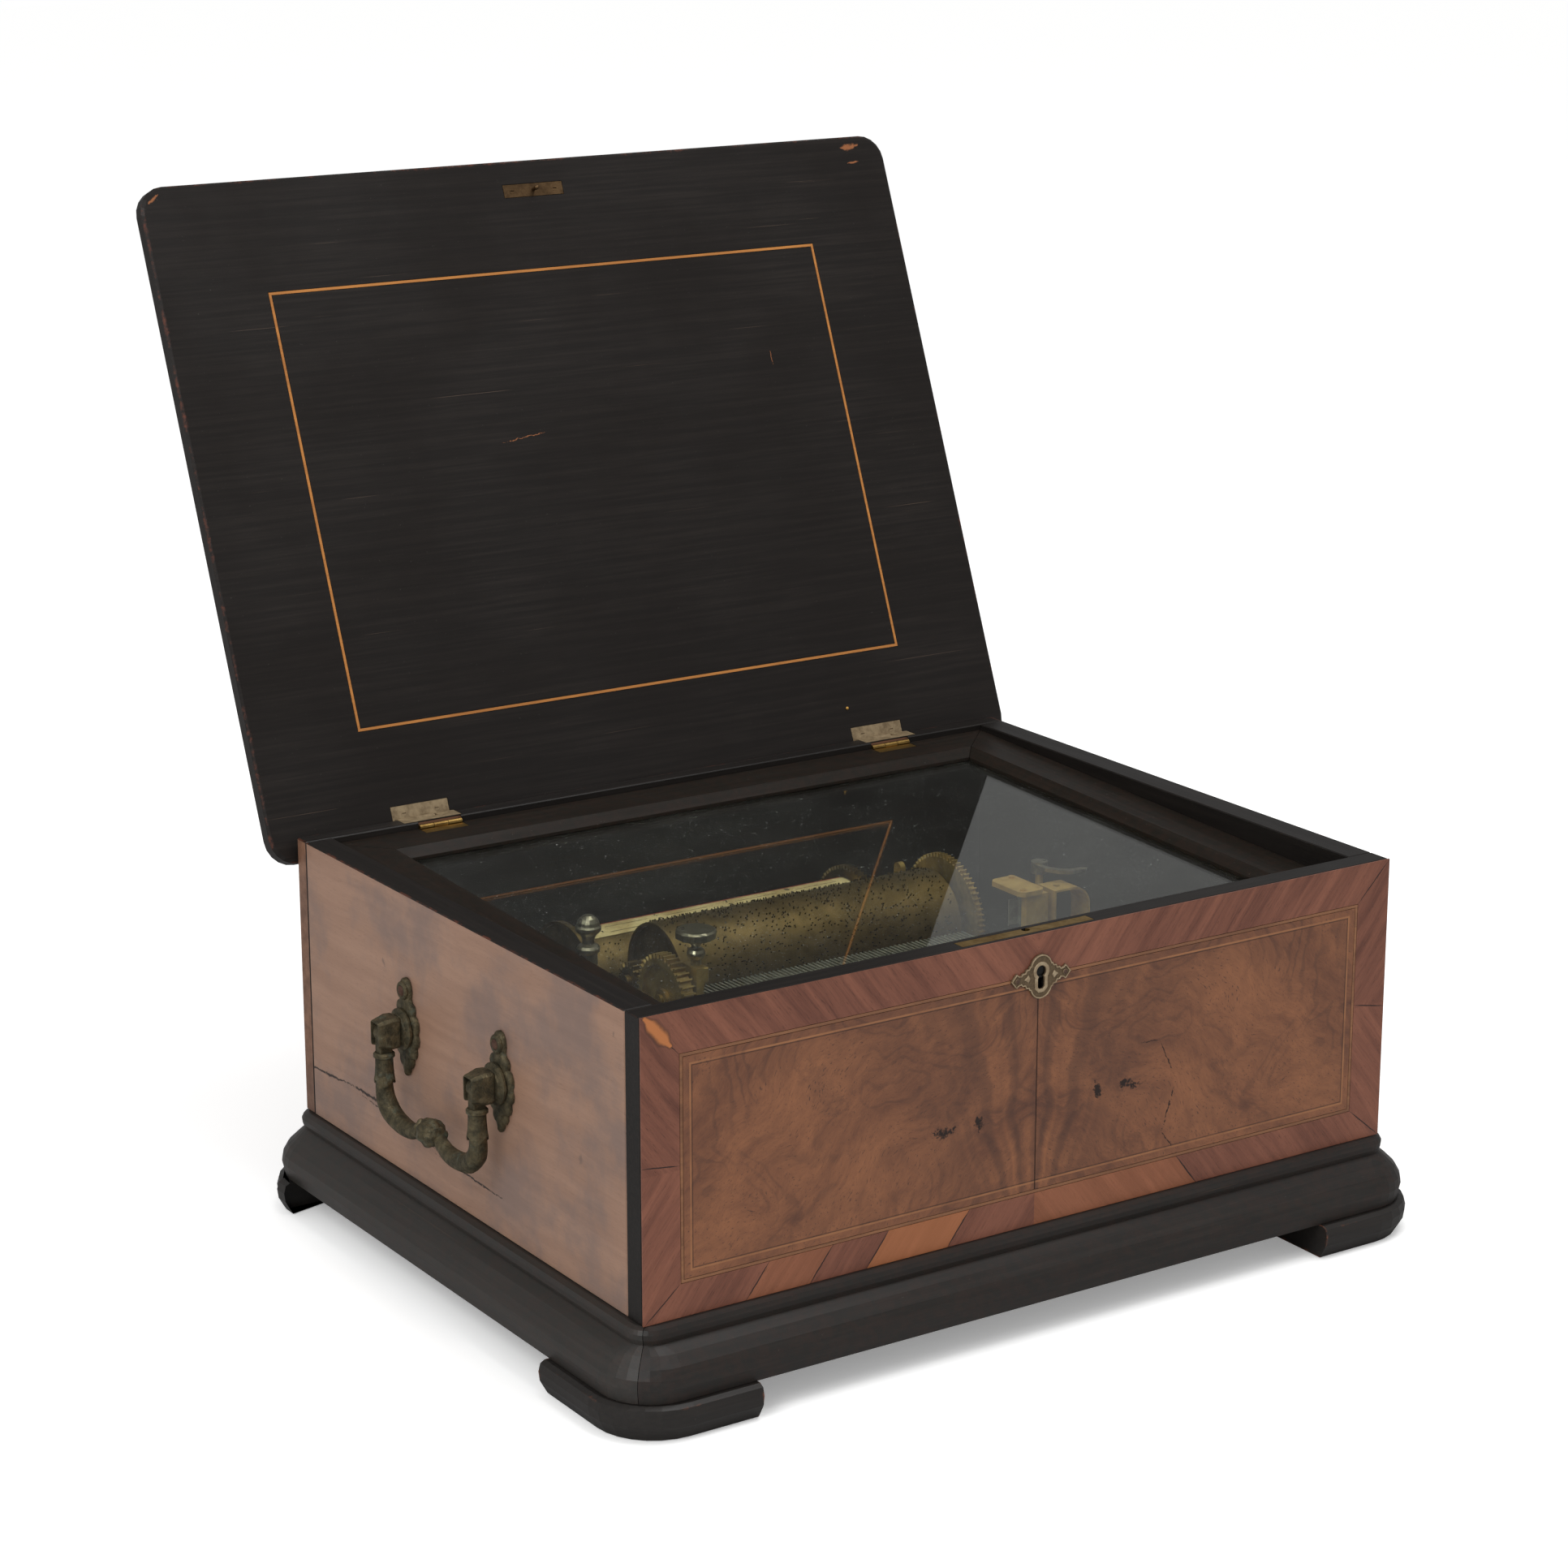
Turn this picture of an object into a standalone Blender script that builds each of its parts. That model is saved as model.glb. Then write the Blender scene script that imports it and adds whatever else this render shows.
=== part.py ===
# Musical box with interchangeable cylinders: veneered case, outer lid, glass inner lid,
# bail handles and an open cylinder-and-comb movement. Metres, +Z up, front towards -Y.
import math

import bmesh
import bpy
from mathutils import Matrix, Vector

# Case boards
case_width = 0.500
case_depth = 0.3813
case_height = 0.1673
side_thickness = 0.017
front_thickness = 0.0156
back_thickness = 0.011
bottom_thickness = 0.010
board_bevel = 0.0006
seat_gap = 0.0003
veneer_thickness = 0.001

# Front face
band_width = 0.023
band_low = 0.0191
band_top_width = 0.0233
string_width = 0.0016
keyhole_x = 0.001
keyhole_below_rim = 0.024
keyhole_radius = 0.0028
keyhole_slot_width = 0.0026
keyhole_slot_length = 0.009
escutcheon_width = 0.040
escutcheon_height = 0.025
escutcheon_thickness = 0.0012

# Lock
lock_left = -0.0478
lock_right = 0.040
lock_plate_front = 0.0039
lock_plate_depth = 0.0077
lock_plate_thickness = 0.0016
lock_body_width = 0.066
lock_body_height = 0.046
lock_body_depth = 0.0064
latch_x = -0.002
latch_hole_radius = 0.0024
latch_inset = 0.0096

# Base moulding and feet
moulding_height = 0.037
moulding_depth = 0.030
foot_height = 0.0197
foot_inner = 0.0205
front_foot_front_leg = 0.058
front_foot_side_leg = 0.06665
back_foot_side_leg = 0.00665
back_foot_back_leg = 0.062
bead_inset = 0.0086
torus_inset = 0.0128
foot_inset = 0.0160
corner_steps = 4

# Outer lid
lid_side_overhang = 0.0143
lid_front_overhang = 0.0095
lid_thickness = 0.0130
lid_corner_radius = 0.016
lid_edge_round = 0.0042
lid_back_overhang = 0.0125
lid_axis_behind = 0.0025
lid_axis_below = 0.003
lid_open_degrees = 111.87
lid_string_side = 0.1944
lid_string_datum = 0.0158
lid_string_back = 0.0545
lid_string_front = 0.3211
lid_string_depth = 0.0009
catch_width = 0.042
catch_depth = 0.008
catch_thickness = 0.0012
catch_pin_radius = 0.0011
catch_ball_radius = 0.0016
catch_pin_length = 0.0065
hinge_spacing = 0.330
hinge_width = 0.038
hinge_leaf_reach = 0.0105
hinge_leaf_thickness = 0.0012
knuckle_radius = 0.0027
hinge_pin_radius = 0.0010
pin_clearance = 0.00008
screw_radius = 0.0019
screw_proud = 0.00012
screw_slot = 0.0006
hinge_screw_spacing = 0.022

# Glass lid
glass_side_gap = 0.0003
glass_front_gap = 0.00035
glass_back_gap = 0.00075
glass_rail_width = 0.0267
glass_lip_fall = 0.005
glass_lip_run = 0.0055
glass_rail_thickness = 0.012
glass_lip_thickness = 0.0022
glass_thickness = 0.0028
glass_groove = 0.006
glass_slope_degrees = 1.95
glass_axis_below_rim = 0.0032
glass_top_below_axis = 0.0005
glass_hinge_spacing = 0.324
glass_hinge_width = 0.028
glass_leaf_reach = 0.009
glass_leaf_thickness = 0.001
glass_knuckle_radius = 0.0018
glass_pin_radius = 0.0007
ledge_width = 0.007
ledge_height = 0.010
ledge_inset = 0.004

# Handles
handle_y = 0.005
handle_z = 0.090
boss_spacing = 0.106
plate_points = 20
plate_thickness = 0.003
collar_radius = 0.011
collar_depth = 0.004
boss_width = 0.0115
boss_height = 0.017
boss_out = 0.0215
pivot_out = 0.016
pocket_width = 0.0076
pocket_height = 0.0130
pocket_depth = 0.0125
tongue_width = 0.0068
tongue_eye_radius = 0.0050
bail_pin_radius = 0.0016
sleeve_radius = 0.0055
sleeve_top_drop = 0.0112
sleeve_bottom_drop = 0.028
bail_rod_radius = 0.0040
bail_knop_radius = 0.0075
bail_knop_drop = 0.0425

# Movement bed
bed_left = -0.156
bed_right = 0.172
bed_front = -0.075
bed_back = 0.166
bed_low = 0.0125
bed_thickness = 0.005
bed_foot_width = 0.022
bed_screw_radius = 0.0042
bed_screw_proud = 0.0018

# Playing cylinder
axis_y = 0.041
axis_z = 0.095
cylinder_left = -0.099
cylinder_right = 0.096
cylinder_radius = 0.031
cylinder_rim = 0.0018
cylinder_recess = 0.003
cylinder_steps = 32
arbor_radius = 0.004
bearing_clearance = 0.00008
music_pin_radius = 0.00045
music_pin_height = 0.0011
music_pin_count = 32
spare_pin_count = 16
golden_turn = 137.507764
golden_step = 0.618034
great_wheel_x = 0.1055
great_wheel_face = 0.004
great_wheel_teeth = 72
train_module = 0.00105
tooth_fill = 0.42
tip_fill = 0.20
train_backlash = 0.00012
cut_reach = 0.010

# Spare cylinder
spare_y = 0.124
spare_z = 0.068
spare_left = -0.1117
spare_right = 0.0967
spare_disc_radius = 0.0385
spare_disc_thickness = 0.0037
spare_wheel_face = 0.004
strip_left = -0.100
strip_right = 0.090
strip_thickness = 0.0004
strip_back_angle = -14.0
strip_front_angle = 21.0
spare_arbor_reach = 0.009
cradle_gap = 0.0015
cradle_end = 0.002
cradle_foot_half = 0.026
cradle_head_half = 0.009
cradle_head_rise = 0.006
cradle_tie_half = 0.006
cradle_tie_thickness = 0.002

# Comb
comb_teeth = 64
comb_pitch = 0.00305
comb_tip_gap = 0.0016
comb_tooth_length = 0.042
comb_plate_depth = 0.026
comb_thickness = 0.0022
comb_tip_width = 0.0012
comb_root_width = 0.0020
comb_base_height = 0.012
comb_screw_count = 5

# Drive train at the left end
drive_face = 0.008
drive_right_x = -0.109
drive_module = 0.00126
drive_teeth = 40
pinion_teeth = 16
barrel_teeth = 43
drive_y = 0.006
drive_z = 0.094
barrel_y = 0.0331
barrel_drum_radius = 0.022
barrel_drum_left = -0.140
lever_x = -0.1433
lever_knob_y = 0.041
lever_knob_z = 0.1333
lever_thickness = 0.003
lever_knob_neck = 0.0165
lever_hub_radius = 0.0095
lever_root_half = 0.0085
lever_tip_half = 0.0045
lever_arbor_depth = 0.011
barrel_socket_depth = 0.012
small_arbor_reach = 0.0075
cock_side_gap = 0.0022
cock_foot_thickness = 0.0025
outer_cock_out = 0.0095
outer_cock_thickness = 0.004
outer_cock_foot_half = 0.016
outer_cock_head_half = 0.008
outer_cock_head_rise = 0.007

# Thumbscrew
thumb_x = -0.1024
thumb_y = -0.0083
thumb_top = 0.1372
thumb_radius = 0.01185
thumb_knurls = 20
bracket_top = 0.1160
bracket_half = 0.0075
bracket_thickness = 0.009
thumb_hole_radius = 0.0026
thumb_flute = 0.965

# Governor
governor_pinion_teeth = 10
governor_angle = 52.0
worm_x = 0.126
worm_y = -0.008
worm_wheel_teeth = 20
worm_thread_radius = 0.0042
worm_core_radius = 0.0026
worm_tip_gap = 0.0003
worm_crests = 4
shaft_radius = 0.0014
fly_width = 0.018
fly_low = 0.100
fly_high = 0.116
cap_top = 0.125
cap_thickness = 0.003
cover_top = 0.1225
post_x = 0.150
post_y = 0.006
post_radius = 0.0024
post_top = 0.1262
post_base_radius = 0.0045
post_base_height = 0.008
right_cock_gap = 0.0018
right_foot_front = 0.014
right_foot_back = 0.016
right_foot_out = 0.010
right_foot_thickness = 0.0037
right_head_half = 0.005
right_head_rise = 0.009
right_shoulder = 0.009
right_tab_y = 0.0795
right_tab_top = 0.1165
right_tab_radius = 0.0037
train_arbor_radius = 0.0020
train_arbor_left = 0.0045
train_arbor_right = 0.0075
worm_wheel_half = 0.0022
worm_half = 0.008
fly_half_thickness = 0.0005
fly_hub_radius = 0.0026
step_height = 0.0077
step_radius = 0.004
wall_gap = 0.0025
wall_thickness = 0.004
inner_wall_gap = 0.0015
inner_wall_thickness = 0.003
tower_right = 0.010
tower_front = 0.016
tower_column_half = 0.008
tower_column_depth = 0.005
frame_foot_thickness = 0.005
frame_foot_back = 0.012
lobe_half = 0.006
cap_left_x = 0.1135
cap_right_x = 0.1315
cap_back_y = 0.0075
cap_corner = 0.0032
cap_screw_inset = 0.0042
cap_screw_radius = 0.0021
cap_screw_proud = 0.0012
cover_left_x = 0.1375
cover_right_x = 0.1640
cover_front_y = -0.0260
cover_back_y = -0.0090
cover_bend = 0.0125
cover_thickness = 0.0012
cover_slot_x = 0.1450
cover_slot_radius = 0.0022
brake_thickness = 0.0022
brake_lift = 0.0018
brake_hub_radius = 0.0052
brake_hub_drop = 0.0042
brake_hub_proud = 0.0008

BRASS = (0.60, 0.46, 0.20)
STEEL = (0.45, 0.46, 0.47)
NICKEL = (0.68, 0.67, 0.64)
BRONZE = (0.20, 0.18, 0.12)
EBONISED = (0.035, 0.028, 0.022)
ROSEWOOD = (0.26, 0.13, 0.08)
PINE = (0.45, 0.33, 0.20)
STRING = (0.55, 0.38, 0.18)

half_width = case_width / 2
half_depth = case_depth / 2
side_inner = half_width - side_thickness
front_inner = -half_depth + front_thickness
back_inner = half_depth - back_thickness
base_height = moulding_height + seat_gap + foot_height
front_foot_front_end = half_width - front_foot_front_leg
front_foot_side_end = half_depth - front_foot_side_leg
back_foot_side_end = half_depth - back_foot_side_leg
back_foot_back_end = half_width - back_foot_back_leg
band_high = case_height - band_top_width
keyhole_z = case_height - keyhole_below_rim
lid_axis_y = half_depth + lid_axis_behind
lid_axis_z = case_height - lid_axis_below
lid_back = lid_axis_y + lid_back_overhang
lid_front = -half_depth - lid_front_overhang
lid_width = case_width + 2 * lid_side_overhang
lid_under = case_height + seat_gap
glass_front = -front_inner - glass_front_gap
glass_back = back_inner - glass_back_gap
glass_axis_y = back_inner - glass_back_gap / 2
glass_axis_z = case_height - glass_axis_below_rim
glass_knuckle_room = glass_knuckle_radius + 2 * seat_gap
bed_top = bed_low + bed_thickness
small_arbor_radius = arbor_radius * 0.8
spare_arbor_left = spare_left - spare_arbor_reach
spare_arbor_right = spare_right + spare_arbor_reach
outer_cock_x = lever_x - outer_cock_out

pieces = {}
pivots = {}


def clear_scene():
    for item in list(bpy.data.objects):
        bpy.data.objects.remove(item, do_unlink=True)
    for mesh in list(bpy.data.meshes):
        bpy.data.meshes.remove(mesh)


def place(axis, along, u, v):
    if axis == "X":
        return Vector((along, u, v))
    if axis == "Y":
        return Vector((u, along, v))
    return Vector((u, v, along))


def axis_vector(axis):
    return place(axis, 1.0, 0.0, 0.0)


def solid(bm):
    bmesh.ops.recalc_face_normals(bm, faces=bm.faces[:])
    mesh = bpy.data.meshes.new("shape")
    bm.to_mesh(mesh)
    bm.free()
    item = bpy.data.objects.new("shape", mesh)
    bpy.context.scene.collection.objects.link(item)
    return item


def bake(item):
    depsgraph = bpy.context.evaluated_depsgraph_get()
    mesh = bpy.data.meshes.new_from_object(item.evaluated_get(depsgraph))
    previous = item.data
    item.modifiers.clear()
    item.data = mesh
    bpy.data.meshes.remove(previous)
    return item


def combine(target, others, operation):
    for other in others:
        modifier = target.modifiers.new(operation.lower(), "BOOLEAN")
        modifier.operation = operation
        modifier.solver = "EXACT"
        modifier.object = other
    bake(target)
    for other in others:
        bpy.data.objects.remove(other, do_unlink=True)
    return target


def unite(target, *others):
    return combine(target, others, "UNION")


def cut(target, *others):
    return combine(target, others, "DIFFERENCE")


def box(low, high, bevel=0.0, segments=1):
    bm = bmesh.new()
    bmesh.ops.create_cube(bm, size=1.0)
    for vert in bm.verts:
        for i in range(3):
            vert.co[i] = low[i] + (vert.co[i] + 0.5) * (high[i] - low[i])
    if bevel > 0:
        bmesh.ops.bevel(bm, geom=bm.edges[:], offset=bevel, segments=segments, profile=0.5, affect="EDGES")
    return solid(bm)


def prism(outline, axis, start, end):
    bm = bmesh.new()
    face = bm.faces.new([bm.verts.new(place(axis, start, u, v)) for u, v in outline])
    moved = bmesh.ops.extrude_face_region(bm, geom=[face])
    shift = axis_vector(axis) * (end - start)
    for element in moved["geom"]:
        if isinstance(element, bmesh.types.BMVert):
            element.co += shift
    return solid(bm)


# Turned solid from (along, radius) pairs; a profile that keeps off the axis is a closed ring.
def turned(profile, axis, centre, steps, ring=False):
    bm = bmesh.new()
    origin = Vector(centre)
    verts = [bm.verts.new(origin + place(axis, along, radius, 0.0)) for along, radius in profile]
    edges = [bm.edges.new(pair) for pair in zip(verts, verts[1:])]
    if ring:
        edges.append(bm.edges.new((verts[-1], verts[0])))
    bmesh.ops.spin(bm, geom=verts + edges, cent=origin, axis=axis_vector(axis), angle=math.tau,
                   steps=steps, use_merge=True)
    bmesh.ops.remove_doubles(bm, verts=bm.verts[:], dist=0.000002)
    return solid(bm)


def rod(axis, start, end, u, v, radius, steps=24):
    bm = bmesh.new()
    middle = Matrix.Translation(place(axis, (start + end) / 2, u, v))
    facing = Vector((0.0, 0.0, 1.0)).rotation_difference(axis_vector(axis)).to_matrix().to_4x4()
    bmesh.ops.create_cone(bm, cap_ends=True, segments=steps, radius1=radius, radius2=radius,
                          depth=abs(end - start), matrix=middle @ facing)
    return solid(bm)


def layered(rings):
    bm = bmesh.new()
    loops = [[bm.verts.new(point) for point in ring] for ring in rings]
    for lower, upper in zip(loops, loops[1:]):
        for i in range(len(lower)):
            j = (i + 1) % len(lower)
            bm.faces.new((lower[i], lower[j], upper[j], upper[i]))
    bm.faces.new(loops[0])
    bm.faces.new(loops[-1])
    return solid(bm)


def copied(item, matrix):
    twin = item.copy()
    twin.data = item.data.copy()
    twin.data.transform(matrix)
    if matrix.determinant() < 0:
        twin.data.flip_normals()
    bpy.context.scene.collection.objects.link(twin)
    return twin


def arc(cx, cy, radius, start, end, steps):
    points = []
    for i in range(steps + 1):
        angle = math.radians(start + (end - start) * i / steps)
        points.append((cx + radius * math.cos(angle), cy + radius * math.sin(angle)))
    return points


def rectangle(low_u, low_v, high_u, high_v):
    return [(low_u, low_v), (high_u, low_v), (high_u, high_v), (low_u, high_v)]


def frame_solid(outer, inner, axis, start, end):
    body = prism(rectangle(*outer), axis, start, end)
    reach = abs(end - start)
    window = prism(rectangle(*inner), axis, min(start, end) - reach, max(start, end) + reach)
    return cut(body, window)


# Gear outline of trapezoid teeth, with a tooth centred on the phase angle.
def gear_outline(teeth, root, tip, phase, cu, cv):
    points = []
    pitch = math.tau / teeth
    for i in range(teeth):
        middle = phase + pitch * i
        for radius, offset in ((root, -tooth_fill), (tip, -tip_fill), (tip, tip_fill), (root, tooth_fill)):
            angle = middle + pitch * offset * 0.5 * 1.1
            points.append((cu + radius * math.cos(angle), cv + radius * math.sin(angle)))
    return points


def add_piece(name, item, tone, metallic, roughness, pivot=None, alpha=1.0, smooth=True):
    item.name = name
    item.data.name = name
    material = bpy.data.materials.new(name)
    material.use_nodes = True
    shader = material.node_tree.nodes["Principled BSDF"]
    shader.inputs["Base Color"].default_value = (*tone, 1.0)
    shader.inputs["Metallic"].default_value = metallic
    shader.inputs["Roughness"].default_value = roughness
    shader.inputs["Alpha"].default_value = alpha
    item.data.materials.clear()
    item.data.materials.append(material)
    if smooth:
        item.data.shade_smooth()
        item.data.set_sharp_from_angle(angle=math.radians(32))
    holder, point = pivots[pivot or "case_frame"]
    item.data.transform(Matrix.Translation(-point))
    item.parent = holder
    pieces[name] = item
    return item


def add_pivot(name, point, turn=0.0):
    holder = bpy.data.objects.new(name, None)
    bpy.context.scene.collection.objects.link(holder)
    holder.location = point
    holder.rotation_euler = (math.radians(turn), 0.0, 0.0)
    if "case_frame" in pivots:
        holder.parent = pivots["case_frame"][0]
        pivots[name] = (holder, Vector(point))
    else:
        pivots[name] = (holder, Vector((0.0, 0.0, 0.0)))


def wood(name, item, tone=EBONISED, pivot=None):
    return add_piece(name, item, tone, 0.0, 0.45, pivot)


def metal(name, item, tone=BRASS, pivot=None, roughness=0.35):
    return add_piece(name, item, tone, 1.0, roughness, pivot)


# Slotted screw heads standing a little out of a leaf or plate.
def with_screws(item, spots, level, up, radius, proud, slot):
    heads = [rod("Z", level - up * radius * 0.4, level + up * proud, x, y, radius, 8) for x, y in spots]
    grooves = [box((x - radius * 0.72, y - slot / 2, min(level - up * slot, level + up * 2 * proud)),
                   (x + radius * 0.72, y + slot / 2, max(level - up * slot, level + up * 2 * proud)))
               for x, y in spots]
    return cut(unite(item, *heads), *grooves)


def build_case():
    reach = 2 * seat_gap
    low = seat_gap
    board_front = -half_depth + veneer_thickness + seat_gap
    front = box((-half_width, board_front, low), (half_width, front_inner, case_height), board_bevel)
    body_y = -half_depth + lock_plate_front + 0.0006
    body_x = (lock_left + lock_right) / 2
    plate_low = case_height - lock_plate_thickness
    plate_y = -half_depth + lock_plate_front
    mortise = box((lock_left - seat_gap, plate_y - seat_gap, plate_low - seat_gap),
                  (lock_right + seat_gap, plate_y + lock_plate_depth + seat_gap, case_height * 1.1))
    pocket = box((body_x - lock_body_width / 2 - seat_gap, body_y - seat_gap,
                  plate_low - lock_body_height - seat_gap),
                 (body_x + lock_body_width / 2 + seat_gap, body_y + lock_body_depth + seat_gap, plate_low))
    front = cut(front, unite(mortise, pocket), keyhole(-half_depth * 1.1, body_y))
    wood("front_board", front)
    lock = box((lock_left, plate_y, plate_low), (lock_right, plate_y + lock_plate_depth, case_height))
    body = box((body_x - lock_body_width / 2, body_y, plate_low - lock_body_height),
               (body_x + lock_body_width / 2, body_y + lock_body_depth, plate_low + reach))
    latch = rod("Z", case_height - 0.010, case_height * 1.1, latch_x, -half_depth + latch_inset,
                latch_hole_radius, 16)
    metal("lock", cut(unite(lock, body), latch, keyhole(-half_depth * 1.1, body_y + lock_body_depth / 2)))

    back = box((-half_width, back_inner, low), (half_width, half_depth, case_height), board_bevel)
    slots = []
    for side in (-1, 1):
        x = side * hinge_spacing / 2
        slots.append(box((x - hinge_width / 2 - seat_gap, lid_axis_y - hinge_leaf_reach - seat_gap,
                          lid_axis_z + lid_axis_below - hinge_leaf_thickness - seat_gap),
                         (x + hinge_width / 2 + seat_gap, half_depth * 1.1, case_height * 1.1)))
        slots.append(box((x - hinge_width / 2 - seat_gap, lid_axis_y - knuckle_radius - 2 * seat_gap,
                          lid_axis_z - knuckle_radius - 2 * seat_gap),
                         (x + hinge_width / 2 + seat_gap, half_depth * 1.1, case_height * 1.1)))
        x = side * glass_hinge_spacing / 2
        slots.append(box((x - glass_hinge_width / 2 - seat_gap, back_inner * 0.9,
                          glass_axis_z - glass_knuckle_room),
                         (x + glass_hinge_width / 2 + seat_gap, glass_axis_y + glass_knuckle_room,
                          case_height * 1.1)))
    wood("back_board", cut(back, *slots), PINE)

    for side, name in ((-1, "left_side_board"), (1, "right_side_board")):
        inner = side * side_inner
        outer = side * half_width
        board = box((min(inner, outer), front_inner + seat_gap, low),
                    (max(inner, outer), back_inner - seat_gap, case_height), board_bevel)
        edge = inner - side * ledge_width
        middle = (inner + outer) / 2
        strip = prism(ledge_outline(), "X", min(edge, middle), max(edge, middle))
        wood(name, unite(board, strip), (0.30, 0.19, 0.15))
    floor = box((-side_inner + seat_gap, front_inner + seat_gap, low),
                (side_inner - seat_gap, back_inner - seat_gap, bottom_thickness), board_bevel)
    wood("bottom_board", floor, PINE)


# Side view of the ledge that carries the glass lid, falling to the front with it.
def ledge_outline():
    under = glass_axis_z - glass_top_below_axis - glass_rail_thickness - seat_gap
    fall = math.tan(math.radians(glass_slope_degrees))
    back_y = back_inner - ledge_inset
    front_y = front_inner + ledge_inset
    back_z = under - (glass_axis_y - back_y) * fall
    front_z = under - (glass_axis_y - front_y) * fall
    return [(front_y, front_z - ledge_height), (back_y, back_z - ledge_height),
            (back_y, back_z), (front_y, front_z)]


def keyhole(start, end):
    hole = rod("Y", start, end, keyhole_x, keyhole_z, keyhole_radius, 20)
    slot = box((keyhole_x - keyhole_slot_width / 2, start, keyhole_z - keyhole_slot_length),
               (keyhole_x + keyhole_slot_width / 2, end, keyhole_z))
    return unite(hole, slot)


def build_front():
    face = -half_depth
    rear = face + veneer_thickness
    out = half_width - band_width
    low, high = band_low, band_high
    band = frame_solid((-half_width, seat_gap, half_width, case_height),
                       (-out - seat_gap, low - seat_gap, out + seat_gap, high + seat_gap), "Y", face, rear)
    wood("front_crossbanding", band, ROSEWOOD)
    line = frame_solid((-out, low, out, high),
                       (-out + string_width, low + string_width, out - string_width, high - string_width),
                       "Y", face, rear)
    wood("front_stringing", line, STRING)
    field = string_width + seat_gap
    joint = seat_gap / 2
    for side, name in ((-1, "front_veneer_left"), (1, "front_veneer_right")):
        edge = side * (out - field)
        middle = side * joint
        sheet = prism(rectangle(min(edge, middle), low + field, max(edge, middle), high - field),
                      "Y", face, rear)
        wood(name, cut(sheet, keyhole(face * 1.1, rear * 0.9)), ROSEWOOD)
    metal("escutcheon", cut(escutcheon_plate(), keyhole(face * 1.1, face * 0.9)))


def escutcheon_plate():
    half_x = escutcheon_width / 2
    half_z = escutcheon_height / 2
    outline = []
    for i in range(48):
        angle = math.tau * i / 48
        across = math.cos(angle)
        up = math.sin(angle)
        waist = 0.82 + 0.18 * abs(math.cos(2 * angle)) ** 0.6
        outline.append((keyhole_x + half_x * math.copysign(abs(across) ** 1.25, across) * waist,
                        keyhole_z + half_z * math.copysign(abs(up) ** 0.85, up) * waist))
    face = -half_depth - seat_gap
    return prism(outline, "Y", face - escutcheon_thickness, face)


moulding_profile = [
    (0.0, 0.0018, bead_inset), (-0.0012, 0.0048, bead_inset), (-0.0035, 0.0060, bead_inset),
    (-0.0065, 0.0056, bead_inset), (-0.0095, 0.0045, bead_inset), (-0.0134, 0.0108, torus_inset),
    (-0.0187, 0.0163, torus_inset), (-0.0237, 0.0191, torus_inset), (-0.0286, 0.0200, torus_inset),
    (-moulding_height, 0.0182, torus_inset)]

foot_profile = [(0.0, 0.0205), (0.0015, 0.0233), (0.0060, 0.0245), (0.0115, 0.0237),
                (0.0160, 0.0212), (foot_height, 0.0190)]

# Heights from the centre of the knob's dome, each with the radius there.
lever_knob_profile = [
    (-0.0255, 0.0), (-0.0255, 0.0052), (-lever_knob_neck, 0.0052), (-0.0150, 0.0066), (-0.0132, 0.0068),
    (-0.0118, 0.0058), (-0.0105, 0.0036), (-0.0080, 0.0034), (-0.0058, 0.0044), (-0.0034, 0.0070),
    (-0.0022, 0.0075), (-0.0008, 0.0075), (0.0004, 0.0066), (0.0022, 0.0062), (0.0044, 0.0050),
    (0.0060, 0.0028), (0.0066, 0.0)]

thumbscrew_profile = [
    (0.0, 0.0), (0.0, thumb_radius - 0.0012), (-0.0012, thumb_radius), (-0.0046, thumb_radius),
    (-0.0056, thumb_radius - 0.0018), (-0.0078, 0.0040), (-0.0096, 0.0026), (-0.0108, 0.0026),
    (-0.0118, 0.0044), (-0.0134, 0.0053), (-0.0150, 0.0053), (-0.0166, 0.0044), (-0.0178, 0.0030),
    (-0.0209, 0.0030), (-0.0209, 0.0024), (-0.0272, 0.0024), (-0.0272, 0.0)]

# Plan of the brake's claw, from the centre of its post.
claw_outline = [
    (-0.0030, 0.001), (-0.0010, -0.010), (0.0022, -0.0165), (0.0080, -0.0205), (0.0150, -0.0215),
    (0.0175, -0.0240), (0.0150, -0.0262), (0.0060, -0.0250), (-0.0005, -0.0205), (-0.0050, -0.0120),
    (-0.0048, -0.001)]


def moulding_ring(side, z, out, inset):
    radius = out + inset
    cx = half_width - inset
    cy = half_depth - inset
    shift = seat_gap * 0.7
    inner_x = half_width - moulding_depth
    inner_y = half_depth - moulding_depth
    if side in ("front", "back"):
        flip = 1 if side == "back" else -1
        points = arc(-cx, flip * cy, radius, 180 - flip * 45, 180 - flip * 90, corner_steps)
        points += arc(cx, flip * cy, radius, flip * 90, flip * 45, corner_steps)
        points += [(inner_x, flip * inner_y), (-inner_x, flip * inner_y)]
        moved = [(x - math.copysign(shift, x), y) if i in (0, len(points) - 3, len(points) - 2,
                 len(points) - 1) else (x, y) for i, (x, y) in enumerate(points)]
    else:
        flip = 1 if side == "right" else -1
        middle = 0 if flip == 1 else 180
        points = arc(flip * cx, -cy, radius, middle - flip * 45, middle, corner_steps)
        points += arc(flip * cx, cy, radius, middle, middle + flip * 45, corner_steps)
        points += [(flip * inner_x, inner_y), (flip * inner_x, -inner_y)]
        moved = [(x, y - math.copysign(shift, y)) if i in (0, len(points) - 3, len(points) - 2,
                 len(points) - 1) else (x, y) for i, (x, y) in enumerate(points)]
    return [(x, y, z) for x, y in moved]


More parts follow.
